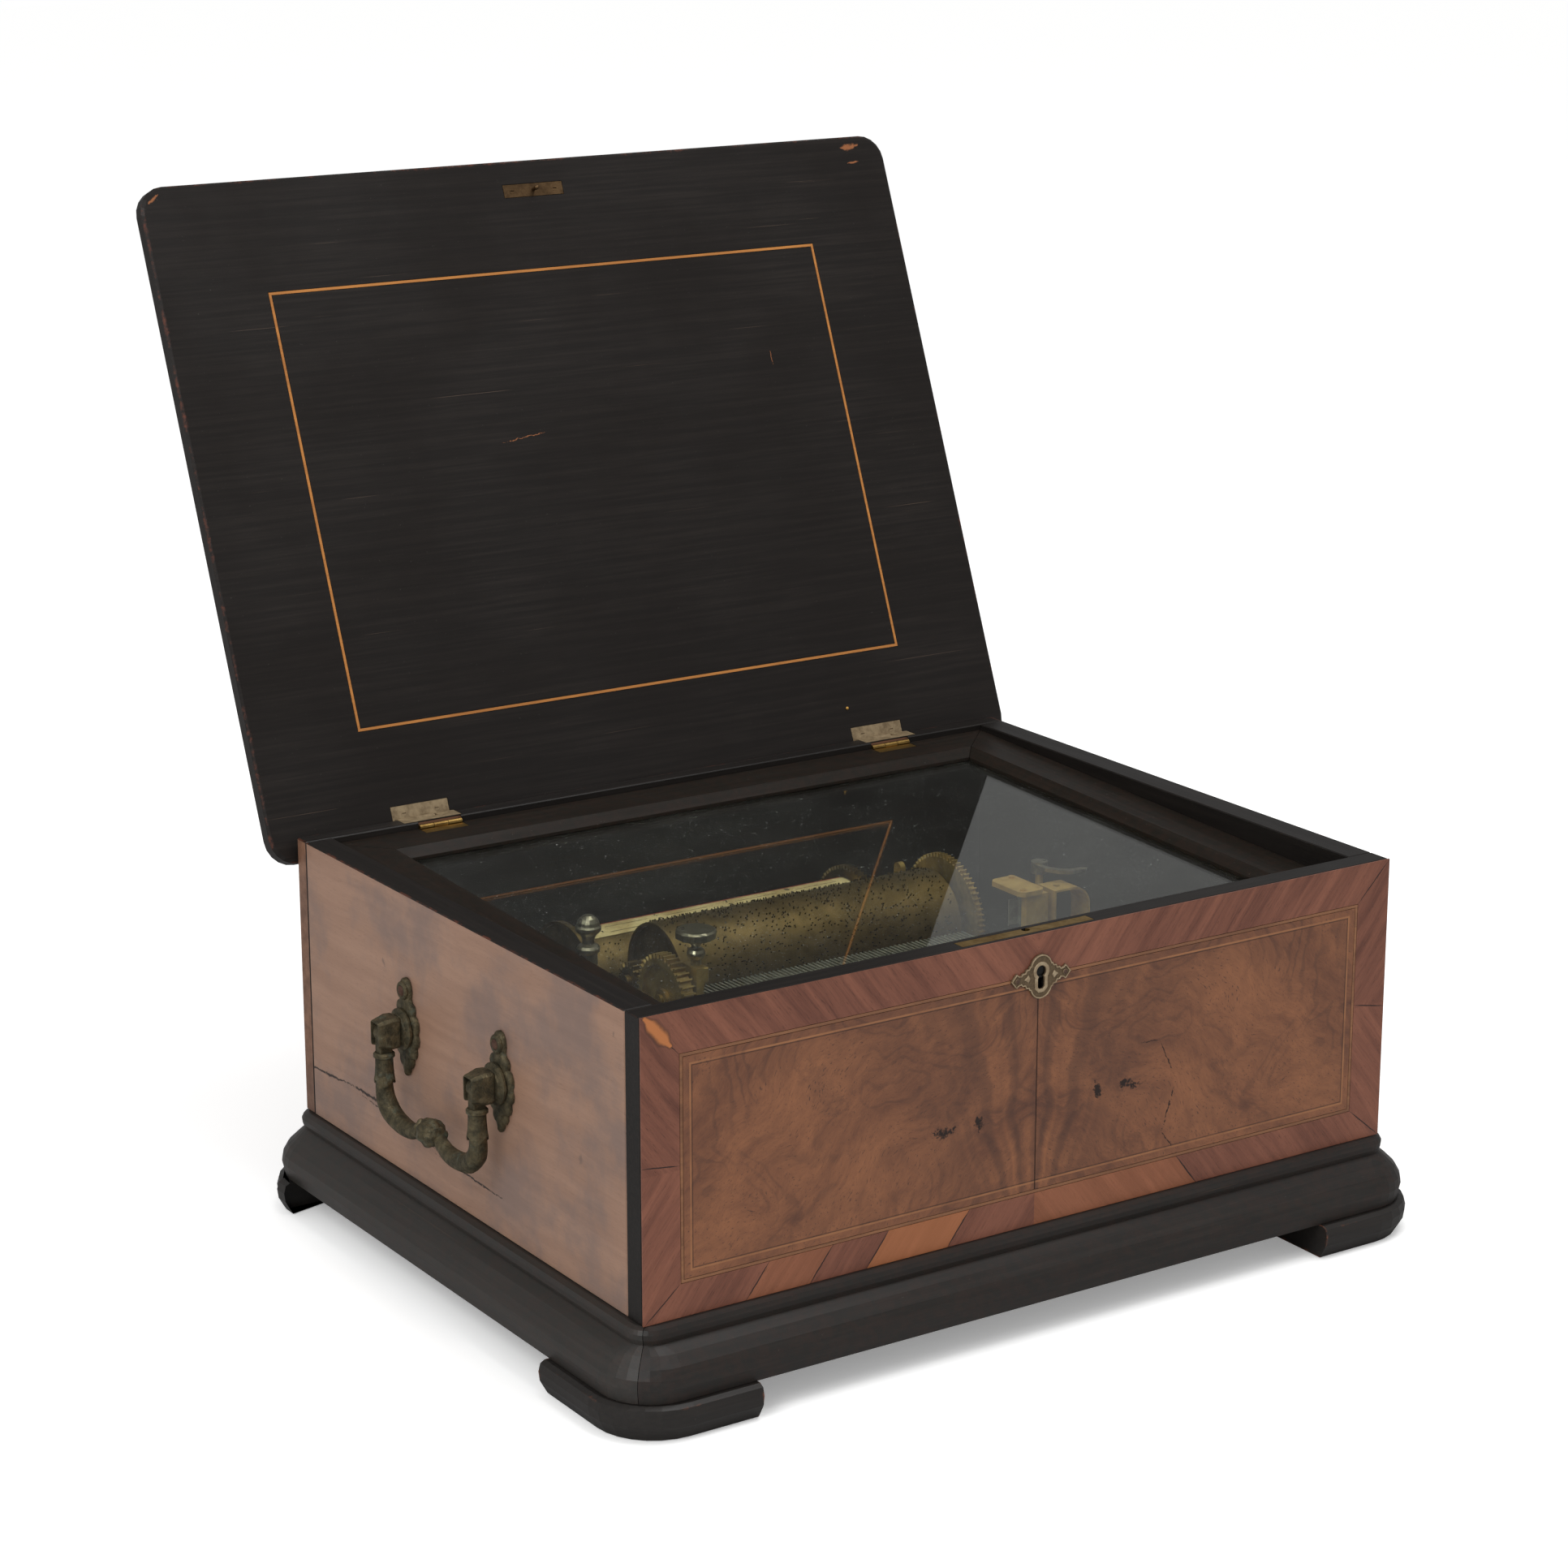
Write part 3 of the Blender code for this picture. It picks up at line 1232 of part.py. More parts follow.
def build_left_end():
    barrel_z = barrel_axis()
    pitch = drive_module * drive_teeth / 2
    to_cylinder = math.atan2(axis_z - drive_z, axis_y - drive_y)
    phase = to_cylinder + math.pi / drive_teeth
    x0 = drive_right_x - drive_face
    arbor_end = drive_right_x + small_arbor_reach
    wheel = prism(gear_outline(drive_teeth, pitch - drive_module * 1.2, pitch + drive_module * 0.95,
                               phase, drive_y, drive_z), "X", x0, drive_right_x)
    hub = small_arbor_radius * 1.9
    rim = pitch - drive_module * 4
    dish = turned([(x0 - drive_face, hub), (x0 + drive_face * 0.28, hub), (x0 + drive_face * 0.28, rim),
                   (x0 - drive_face, rim)], "X", (0.0, drive_y, drive_z), 24, ring=True)
    stub = rod("X", x0 - drive_face * 0.25, arbor_end, drive_y, drive_z, small_arbor_radius, 24)
    metal("drive_wheel", unite(cut(wheel, dish), stub), BRASS, "drive_axis")

    pitch = drive_module * barrel_teeth / 2
    to_drive = math.atan2(drive_z - barrel_z, drive_y - barrel_y)
    back = to_drive + math.pi
    turns = (back - phase) / (math.tau / drive_teeth)
    offset = turns - math.floor(turns)
    barrel_phase = to_drive + (math.tau / barrel_teeth) * (0.5 + offset)
    wheel_x0 = x0 + drive_face * 0.25
    wheel = prism(gear_outline(barrel_teeth, pitch - drive_module * 1.2, pitch + drive_module * 0.95,
                               barrel_phase, barrel_y, barrel_z), "X", wheel_x0,
                  drive_right_x - drive_face * 0.125)
    socket = barrel_drum_left + barrel_socket_depth
    socket_radius = small_arbor_radius + bearing_clearance
    drum_end = wheel_x0 + drive_face * 0.125
    drum = turned([(socket, 0.0), (socket, socket_radius), (barrel_drum_left, socket_radius),
                   (barrel_drum_left, barrel_drum_radius * 0.955),
                   (barrel_drum_left + barrel_drum_radius * 0.045, barrel_drum_radius),
                   (drum_end, barrel_drum_radius), (drum_end, small_arbor_radius),
                   (arbor_end, small_arbor_radius), (arbor_end, 0.0)],
                  "X", (0.0, barrel_y, barrel_z), 24)
    metal("barrel", unite(drum, wheel), BRASS, "barrel_axis")
    build_left_cock(barrel_z)
    build_lever(barrel_z)
    build_thumbscrew()


# One casting bears the cylinder, the drive wheel, the barrel's two ends and the thumbscrew.
def build_left_cock(barrel_z):
    low = bed_top + seat_gap
    x0 = drive_right_x + cock_side_gap
    x1 = cylinder_left - cock_side_gap
    front = thumb_y - bracket_half
    back = thumb_y + bracket_half
    profile = [(front, low), (axis_y + 0.012, low), (axis_y + 0.010, axis_z + 0.004),
               (axis_y + 0.005, axis_z + 0.0095), (axis_y - 0.005, axis_z + 0.0095),
               (axis_y - 0.010, axis_z - 0.002), (drive_y + 0.004, drive_z + 0.0055),
               (back, bracket_top - bracket_thickness * 0.9), (back, bracket_top), (front, bracket_top)]
    cock = prism(profile, "X", x0, x1 - seat_gap * 2)
    shoulder = box((x0, front, bracket_top - bracket_thickness),
                   (cylinder_left + seat_gap * 2, back, bracket_top), board_bevel)
    outer_x1 = outer_cock_x + outer_cock_thickness
    outer = prism([(barrel_y - outer_cock_foot_half, low), (barrel_y + outer_cock_foot_half, low),
                   (barrel_y + outer_cock_head_half, barrel_z + outer_cock_head_rise),
                   (barrel_y - outer_cock_head_half, barrel_z + outer_cock_head_rise)], "X",
                  outer_cock_x, outer_x1)
    foot = box((outer_cock_x, barrel_y - outer_cock_foot_half, low),
               (x0 + cock_side_gap, barrel_y + outer_cock_foot_half * 0.6, low + cock_foot_thickness))
    bore = small_arbor_radius + bearing_clearance
    holes = [rod("X", x0 - cut_reach, x1 + cut_reach, axis_y, axis_z, arbor_radius + bearing_clearance, 32),
             rod("X", x0 - cut_reach, x1 + cut_reach, drive_y, drive_z, bore, 24),
             rod("X", x0 - cut_reach, x1 + cut_reach, barrel_y, barrel_z, bore, 24),
             rod("X", outer_cock_x - cut_reach, outer_x1 + seat_gap, barrel_y, barrel_z, bore, 24),
             rod("Z", bracket_top - bracket_half, bracket_top + cut_reach, thumb_x, thumb_y,
                 thumb_hole_radius, 20)]
    metal("left_cock", cut(unite(cock, shoulder, outer, foot), *holes), BRASS)


def build_lever(barrel_z):
    half = lever_thickness / 2
    y0, z0 = barrel_y, barrel_z
    y1, z1 = lever_knob_y, lever_knob_z - lever_knob_neck
    length = math.hypot(y1 - y0, z1 - z0)
    uy, uz = (z1 - z0) / length, -(y1 - y0) / length
    outline = [(y0 + uy * lever_root_half, z0 + uz * lever_root_half),
               (y1 + uy * lever_tip_half, z1 + uz * lever_tip_half),
               (y1 - uy * lever_tip_half, z1 - uz * lever_tip_half),
               (y0 - uy * lever_root_half, z0 - uz * lever_root_half)]
    blade = prism(outline, "X", lever_x - half, lever_x + half)
    hub = rod("X", lever_x - half, lever_x + half, y0, z0, lever_hub_radius, 20)
    arbor = rod("X", outer_cock_x + seat_gap * 2, barrel_drum_left + lever_arbor_depth, y0, z0,
                small_arbor_radius, 24)
    knob = turned(lever_knob_profile, "Z", (lever_x, lever_knob_y, lever_knob_z), 16)
    metal("winding_lever", unite(blade, hub, arbor, knob), NICKEL, "lever_axis", roughness=0.2)


def build_thumbscrew():
    body = turned(thumbscrew_profile, "Z", (thumb_x, thumb_y, thumb_top), thumb_knurls)
    bm = bmesh.new()
    bm.from_mesh(body.data)
    bpy.data.objects.remove(body, do_unlink=True)
    rim = thumb_top + thumbscrew_profile[2][0]
    rim_low = thumb_top + thumbscrew_profile[3][0]
    for vert in bm.verts:
        dx = vert.co.x - thumb_x
        dy = vert.co.y - thumb_y
        on_rim = rim_low - seat_gap < vert.co.z < rim + seat_gap
        if on_rim and round(math.atan2(dy, dx) / math.tau * thumb_knurls) % 2 == 0:
            vert.co.x = thumb_x + dx * thumb_flute
            vert.co.y = thumb_y + dy * thumb_flute
    metal("thumbscrew", solid(bm), NICKEL, "thumb_axis", roughness=0.2)


def governor_centre():
    gap = train_module * (great_wheel_teeth + governor_pinion_teeth) / 2 + train_backlash
    angle = math.radians(governor_angle)
    return axis_y - gap * math.cos(angle), axis_z - gap * math.sin(angle)


def build_right_end():
    low = bed_top + seat_gap
    x0 = cylinder_right + right_cock_gap
    x1 = great_wheel_x - great_wheel_face / 2 - cock_side_gap
    front = axis_y - right_foot_front
    tab_back = right_tab_y + right_tab_radius
    outline = [(front, low), (tab_back, low), (tab_back, right_tab_top)]
    outline += arc(right_tab_y, right_tab_top, right_tab_radius, 0, 180, 8)[1:]
    outline += [(right_tab_y - right_tab_radius, axis_z - right_tab_radius),
                (axis_y + right_shoulder, axis_z + right_shoulder / 3),
                (axis_y + right_head_half, axis_z + right_head_rise),
                (axis_y - right_head_half, axis_z + right_head_rise),
                (axis_y - right_shoulder, axis_z + right_shoulder / 3)]
    plate = prism(outline, "X", x0, x1)
    hole = rod("X", x0 - cut_reach, x1 + cut_reach, axis_y, axis_z, arbor_radius + bearing_clearance, 32)
    foot = box((x0 - right_foot_out, front, low), (x1, axis_y + right_foot_back, low + right_foot_thickness))
    metal("right_cock", cut(unite(plate, foot), hole), BRASS)
    build_governor()


def build_governor():
    gy, gz = governor_centre()
    pinion_x0 = great_wheel_x - great_wheel_face / 2 - fly_half_thickness
    wheel_x1 = worm_x + worm_wheel_half
    build_intermediate(gy, gz, pinion_x0, wheel_x1)
    build_worm(gz)
    build_governor_frame(gy, gz, pinion_x0, wheel_x1)
    build_governor_cap()
    build_fly_cover()
    build_brake()


def build_intermediate(gy, gz, pinion_x0, wheel_x1):
    pitch = train_module * governor_pinion_teeth / 2
    pinion_x1 = great_wheel_x + great_wheel_face / 2 + fly_half_thickness
    pinion = prism(gear_outline(governor_pinion_teeth, pitch - train_module * 1.2, pitch + train_module,
                                math.radians(governor_angle), gy, gz), "X", pinion_x0, pinion_x1)
    radius = gy - worm_y - worm_thread_radius - worm_tip_gap
    wheel = prism(gear_outline(worm_wheel_teeth, radius - train_module, radius, 0.0, gy, gz),
                  "X", worm_x - worm_wheel_half, wheel_x1)
    arbor = rod("X", pinion_x0 - train_arbor_left, wheel_x1 + train_arbor_right, gy, gz,
                train_arbor_radius, 20)
    metal("intermediate_wheel", unite(arbor, pinion, wheel), BRASS, "intermediate_axis")


def build_worm(gz):
    foot = bed_top + step_height + seat_gap
    low = gz - worm_half
    profile = [(foot, 0.0), (foot, shaft_radius), (low, shaft_radius)]
    for i in range(worm_crests):
        base = low + 2 * worm_half * (i + 0.1) / worm_crests
        crest = low + 2 * worm_half * (i + 0.5) / worm_crests
        profile += [(base, worm_core_radius), (crest, worm_thread_radius)]
    top = cap_top - cap_thickness * 0.5
    profile += [(low + 2 * worm_half, worm_core_radius),
                (low + 2 * worm_half + fly_half_thickness * 2, shaft_radius), (top, shaft_radius), (top, 0.0)]
    worm = turned(profile, "Z", (worm_x, worm_y, 0.0), 10)
    vane = box((worm_x - fly_width / 2, worm_y - fly_half_thickness, fly_low),
               (worm_x + fly_width / 2, worm_y + fly_half_thickness, fly_high))
    hub = rod("Z", fly_low, fly_high, worm_x, worm_y, fly_hub_radius, 16)
    metal("worm_fly", unite(worm, vane, hub), STEEL, "worm_axis")


def build_governor_frame(gy, gz, pinion_x0, wheel_x1):
    low = bed_top + seat_gap
    outer_x0 = wheel_x1 + wall_gap
    outer_x1 = outer_x0 + wall_thickness
    inner_x1 = pinion_x0 - inner_wall_gap
    inner_x0 = inner_x1 - inner_wall_thickness
    tower_x1 = worm_x + tower_right
    tower_y0 = worm_y - tower_front
    wall_y0 = worm_y - lobe_half
    base = box((inner_x0, tower_y0, low), (tower_x1, gy + frame_foot_back, low + frame_foot_thickness))
    lobe = box((tower_x1 - wall_thickness, post_y - lobe_half, low),
               (post_x + lobe_half, post_y + lobe_half, low + frame_foot_thickness * 0.92))
    base_top = bed_top + post_base_height
    post = turned([(low + board_bevel, 0.0), (low + board_bevel, post_base_radius),
                   (base_top, post_base_radius), (base_top + 2 * board_bevel, post_radius),
                   (post_top, post_radius), (post_top, 0.0)], "Z", (post_x, post_y, 0.0), 16)
    outer = prism([(wall_y0, low), (gy + 0.012, low), (gy + 0.008, gz + 0.007), (gy - 0.008, gz + 0.007),
                   (wall_y0, gz - 0.004)], "X", outer_x0, outer_x1)
    inner = prism([(wall_y0, low), (gy + 0.010, low), (gy + 0.0045, gz - 0.006), (gy + 0.0045, gz + 0.0055),
                   (gy - 0.0045, gz + 0.0055), (wall_y0, gz - 0.010)], "X", inner_x0, inner_x1)
    column = box((worm_x - tower_column_half, tower_y0, low),
                 (worm_x + tower_column_half, tower_y0 + tower_column_depth,
                  cap_top - cap_thickness - seat_gap))
    step_top = bed_top + step_height
    step = rod("Z", low, step_top + step_radius / 2, worm_x, worm_y, step_radius, 20)
    holes = [rod("X", inner_x0 - cut_reach, outer_x1 + cut_reach, gy, gz,
                 train_arbor_radius + bearing_clearance, 20),
             rod("Z", step_top - step_radius / 4, step_top + cut_reach, worm_x, worm_y,
                 shaft_radius + bearing_clearance, 16)]
    metal("governor_frame", cut(unite(base, lobe, post, outer, inner, column, step), *holes), BRASS)


def build_governor_cap():
    x0, x1 = cap_left_x, cap_right_x
    y0, y1 = worm_y - tower_front - 2 * board_bevel, cap_back_y
    corner = cap_corner
    outline = [(x0 + corner, y0), (x1 - corner, y0), (x1, y0 + corner), (x1, y1 - corner),
               (x1 - corner, y1), (x0 + corner, y1), (x0, y1 - corner), (x0, y0 + corner)]
    cap = prism(outline, "Z", cap_top - cap_thickness, cap_top)
    pivot_hole = rod("Z", cap_top - cap_thickness * 2, cap_top - cap_thickness * 0.4, worm_x, worm_y,
                     shaft_radius + bearing_clearance, 16)
    spots = [(x1 - cap_screw_inset, y1 - cap_screw_inset), (x0 + cap_screw_inset, y0 + cap_screw_inset)]
    cap = with_screws(cut(cap, pivot_hole), spots, cap_top, 1, cap_screw_radius, cap_screw_proud, screw_slot)
    metal("governor_cap", cap, BRASS)


# A strip bent over the fly, open at its two ends.
def build_fly_cover():
    low = bed_top + seat_gap
    left, right = cover_left_x, cover_right_x
    thin, bend = cover_thickness, cover_bend
    outer_arc = arc(right - bend, cover_top - bend, bend, 90, 0, 8)
    inner_arc = arc(right - bend, cover_top - bend, bend - thin, 0, 90, 8)
    outline = [(left, cover_top)] + outer_arc + [(right, low), (right - thin, low)]
    outline += inner_arc + [(left + thin, cover_top - thin), (left + thin, low), (left, low)]
    cover = prism(outline, "Y", cover_front_y, cover_back_y)
    slot = rod("Z", cover_top - cut_reach, cover_top + cut_reach, cover_slot_x,
               (cover_front_y + cover_back_y) / 2, cover_slot_radius, 16)
    metal("fly_cover", cut(cover, slot), BRASS)


def build_brake():
    low = post_top + brake_lift
    top = low + brake_thickness
    hub = rod("Z", low - brake_hub_drop, top + brake_hub_proud, post_x, post_y, brake_hub_radius, 20)
    bore = rod("Z", low - cut_reach, post_top + seat_gap, post_x, post_y, post_radius + bearing_clearance, 16)
    arm = prism([(post_x + u, post_y + v) for u, v in claw_outline], "Z", low, top)
    metal("brake_lever", cut(unite(hub, arm), bore), NICKEL, "brake_axis", roughness=0.2)


def main():
    clear_scene()
    open_turn = math.radians(lid_open_degrees)
    far_edge = lid_axis_y - lid_front
    lid_reach = far_edge * -math.cos(open_turn) + (lid_thickness + lid_axis_below) * math.sin(open_turn)
    foot_reach = half_depth + max(out for _, out in foot_profile)
    case_y = -(lid_axis_y + lid_reach - foot_reach) / 2
    add_pivot("case_frame", (0.0, case_y, base_height))
    barrel_z = barrel_axis()
    gy, gz = governor_centre()
    add_pivot("lid_axis", (0.0, lid_axis_y, lid_axis_z), -lid_open_degrees)
    add_pivot("glass_axis", (0.0, glass_axis_y, glass_axis_z), glass_slope_degrees)
    add_pivot("bail_left_axis", (-half_width - pivot_out, handle_y, handle_z))
    add_pivot("bail_right_axis", (half_width + pivot_out, handle_y, handle_z))
    add_pivot("cylinder_axis", (0.0, axis_y, axis_z))
    add_pivot("drive_axis", (drive_right_x, drive_y, drive_z))
    add_pivot("barrel_axis", (drive_right_x, barrel_y, barrel_z))
    add_pivot("lever_axis", (lever_x, barrel_y, barrel_z))
    add_pivot("thumb_axis", (thumb_x, thumb_y, bracket_top))
    add_pivot("intermediate_axis", (great_wheel_x, gy, gz))
    add_pivot("worm_axis", (worm_x, worm_y, bed_top))
    add_pivot("brake_axis", (post_x, post_y, post_top))
    build_case()
    build_front()
    build_base()
    build_lid()
    build_glass_lid()
    build_handles()
    build_bed()
    build_comb()
    build_cylinders()
    build_left_end()
    build_right_end()


main()
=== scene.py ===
from math import cos, floor, pi, radians, sin, tau

import bmesh
import bpy
from mathutils import Matrix, Vector


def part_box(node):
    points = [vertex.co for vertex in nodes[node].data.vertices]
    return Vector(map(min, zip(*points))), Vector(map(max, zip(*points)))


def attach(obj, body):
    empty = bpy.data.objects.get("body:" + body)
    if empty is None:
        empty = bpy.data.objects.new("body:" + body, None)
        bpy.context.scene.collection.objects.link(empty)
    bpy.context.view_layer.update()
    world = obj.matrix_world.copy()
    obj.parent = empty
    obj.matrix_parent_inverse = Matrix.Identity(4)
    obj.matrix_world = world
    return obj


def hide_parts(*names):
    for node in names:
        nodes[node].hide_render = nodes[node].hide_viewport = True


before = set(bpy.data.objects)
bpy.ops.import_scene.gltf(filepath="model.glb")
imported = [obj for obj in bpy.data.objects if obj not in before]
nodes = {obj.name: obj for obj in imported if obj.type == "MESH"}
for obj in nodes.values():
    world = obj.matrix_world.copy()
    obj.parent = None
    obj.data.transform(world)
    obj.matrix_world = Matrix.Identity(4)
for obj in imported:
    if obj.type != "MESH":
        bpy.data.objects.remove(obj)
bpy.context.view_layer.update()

# Sizes in metres. The case frame has its origin on the case's bottom, under its centre.
caseOrigin = Vector((0, -0.0696768, 0.057))
halfWidth = 0.25
halfDepth = 0.19065
caseHeight = 0.1673
sideInner = 0.233
backInner = 0.17965
bandInner = Vector((0.227, 0, 0.06245))
bandMiddle = Vector((0, 0, 0.08155))
stringInset = 0.0062
lidOpen = radians(111.87)
lidAxis = Vector((0, 0.1234732, 0.2213))
glassSlope = radians(1.95)
glassAxis = Vector((0, 0.1095982, 0.2211))
cylinderCentre = Vector((0, -0.0286768, 0.152))
spareCentre = Vector((0, 0.0543232, 0.125))
quarter = pi / 2


def plug(socket, value):
    if isinstance(value, bpy.types.NodeSocket):
        value.id_data.links.new(value, socket)
    else:
        socket.default_value = value


def plugAll(sockets, values):
    for name, value in values.items():
        plug(sockets[name], value)


# A node in the given tree, or else in the tree of the sockets among its values.
def addNode(kind, values, tree=None, **settings):
    if tree is None:
        tree = next(value.id_data for value in values.values() if isinstance(value, bpy.types.NodeSocket))
    node = tree.nodes.new("ShaderNode" + kind)
    for name, value in settings.items():
        setattr(node, name, value)
    plugAll(node.inputs, values)
    return node


# A group that takes a Vector and the inputs named, each of the kind of its value.
def newGroup(name, outputs, inputs):
    tree = bpy.data.node_groups.new(name, "ShaderNodeTree")
    tree.interface.new_socket("Vector", in_out="INPUT", socket_type="NodeSocketVector")
    for label, value in inputs.items():
        kind = {3: "Vector", 4: "Color"}[len(value)] if isinstance(value, tuple) else "Float"
        socket = tree.interface.new_socket(label, in_out="INPUT", socket_type="NodeSocket" + kind)
        socket.default_value = value
    for label in outputs:
        kind = "Color" if label == "Color" else "Float"
        tree.interface.new_socket(label, in_out="OUTPUT", socket_type="NodeSocket" + kind)
    entry = tree.nodes.new("NodeGroupInput").outputs
    return entry["Vector"], entry, tree.nodes.new("NodeGroupOutput").inputs


def vectorMaths(operation, first, second=(0, 0, 0), output=0):
    return addNode("VectorMath", {0: first, 1: second}, operation=operation).outputs[output]


def maths(operation, first, second=0.5, third=0, clamp=False):
    return addNode("Math", {0: first, 1: second, 2: third}, operation=operation, use_clamp=clamp).outputs[0]


def plus(first, second, clamp=False):
    return maths("ADD", first, second, clamp=clamp)


def minus(first, second, clamp=False):
    return maths("SUBTRACT", first, second, clamp=clamp)


def times(first, second, clamp=False):
    return maths("MULTIPLY", first, second, clamp=clamp)


def timesPlus(first, second, third, clamp=False):
    return maths("MULTIPLY_ADD", first, second, third, clamp)


def noise(vector, scale, detail=4, rough=0.55, distortion=0, output="Fac"):
    values = {"Vector": vector, "Scale": scale, "Detail": detail, "Roughness": rough,
            "Distortion": distortion}
    return addNode("TexNoise", values).outputs[output]


def stretched(vector, scale, detail=4, rough=0.55):
    return noise(vectorMaths("MULTIPLY", vector, scale), 1, detail, rough)


def ranged(value, low, high, toLow=0, toHigh=1):
    values = {"Value": value, "From Min": low, "From Max": high, "To Min": toLow, "To Max": toHigh}
    return addNode("MapRange", values, interpolation_type="SMOOTHSTEP").outputs[0]


def blended(factor, first, second, mode="MIX"):
    return addNode("Mix", {"Factor": factor, 6: first, 7: second}, data_type="RGBA",
            blend_type=mode).outputs[2]


def parted(vector):
    return addNode("SeparateXYZ", {0: vector}).outputs


def joined(x, y, z):
    return addNode("CombineXYZ", {0: x, 1: y, 2: z}).outputs[0]


def turned(vector, turn, move=(0, 0, 0)):
    return addNode("Mapping", {"Vector": vector, "Location": move, "Rotation": turn}).outputs[0]


# A colour picked in screen values, turned into the linear values that shaders take.
def shade(red, green, blue):
    return tuple(((part / 255 + 0.055) / 1.055) ** 2.4 for part in (red, green, blue)) + (1,)


# Grain that runs along the vector's X, with broad figure, fine fibre and open pores.
def makeGrainGroup():
    vector, entry, leave = newGroup("woodGrain", ("Color", "Height", "Tone"),
            {"Dark": (0.1, 0.05, 0.03, 1), "Light": (0.3, 0.2, 0.1, 1), "Figure": 0.6, "Fibre": 0.8,
                "Pores": 0.4})
    wander = noise(vector, 9, 2, 0.5, output="Color")
    shifted = vectorMaths("MULTIPLY", wander, (0, 0.012, 0.012))
    shifted = vectorMaths("ADD", shifted, vector)
    cloud = stretched(shifted, (9, 26, 26), 4)
    broad = stretched(shifted, (9, 150, 150), 4, 0.6)
    fibre = stretched(shifted, (30, 1100, 1100), 5, 0.65)
    pore = stretched(shifted, (170, 3000, 3000), 2)
    figure = timesPlus(ranged(cloud, 0.3, 0.7), 0.55, ranged(broad, 0.3, 0.7))
    tone = times(minus(figure, 0.75), entry["Figure"])
    tone = timesPlus(minus(fibre, 0.5), entry["Fibre"], tone)
    tone = plus(tone, 0.5, clamp=True)
    mark = times(ranged(pore, 0.6, 0.72), entry["Pores"])
    colour = blended(tone, entry["Dark"], entry["Light"])
    darker = blended(1, colour, (0.34, 0.32, 0.3, 1), "MULTIPLY")
    plug(leave["Color"], blended(mark, colour, darker))
    plug(leave["Height"], minus(fibre, mark))
    plug(leave["Tone"], tone)


# The least, the most or the sum of a vector's three parts.
def overParts(operation, vector):
    parts = parted(vector)
    return maths(operation, maths(operation, parts[0], parts[1]), parts[2])


# One near the edges of a box between Low and High, nothing on its faces.
def makeEdgeGroup():
    vector, entry, leave = newGroup("boxEdge", ("Mask",), {"Low": (0, 0, 0), "High": (1, 1, 1),
                "Width": 0.004})
    fromLow = vectorMaths("SUBTRACT", vector, entry["Low"])
    fromHigh = vectorMaths("SUBTRACT", entry["High"], vector)
    inside = vectorMaths("MINIMUM", fromLow, fromHigh)
    least, most, total = (overParts(operation, inside) for operation in ("MINIMUM", "MAXIMUM", "ADD"))
    middle = minus(minus(total, least), most)
    uneven = noise(vector, 55, 5, 0.75)
    reach = times(entry["Width"], ranged(uneven, 0.35, 0.75, 0.05, 2.2))
    plug(leave["Mask"], minus(1, maths("DIVIDE", middle, reach), clamp=True))


# One inside a box between Low and High.
def makeInsideGroup():
    vector, entry, leave = newGroup("boxInside", ("Mask",), {"Low": (0, 0, 0), "High": (1, 1, 1)})
    fromLow = vectorMaths("SUBTRACT", vector, entry["Low"])
    fromHigh = vectorMaths("SUBTRACT", entry["High"], vector)
    plug(leave["Mask"], maths("GREATER_THAN", overParts("MINIMUM", vectorMaths("MINIMUM", fromLow, fromHigh)),
                0))


# A ragged stroke of the given Width between two points.
def makeStrokeGroup():
    vector, entry, leave = newGroup("ragStroke", ("Mask",),
            {"From": (0, 0, 0), "To": (1, 0, 0), "Width": 0.0004, "Wander": 0.002, "Core": 0.35})
    shake = noise(vector, 190, 6, 0.7, output="Color")
    shake = vectorMaths("SUBTRACT", shake, (0.5, 0.5, 0.5))
    wander = joined(entry["Wander"], entry["Wander"], entry["Wander"])
    point = vectorMaths("ADD", vector, vectorMaths("MULTIPLY", shake, wander))
    along = vectorMaths("SUBTRACT", entry["To"], entry["From"])
    offset = vectorMaths("SUBTRACT", point, entry["From"])
    dots = [vectorMaths("DOT_PRODUCT", first, along, "Value") for first in (offset, along)]
    share = maths("DIVIDE", dots[0], dots[1], clamp=True)
    nearest = vectorMaths("MULTIPLY", along, joined(share, share, share))
    gap = vectorMaths("DISTANCE", offset, nearest, "Value")
    thin = ranged(maths("ABSOLUTE", minus(share, 0.5)), 0.2, 0.5, 1, 0.35)
    width = times(entry["Width"], thin)
    plug(leave["Mask"], ranged(maths("DIVIDE", gap, width), entry["Core"], 1, 1, 0))


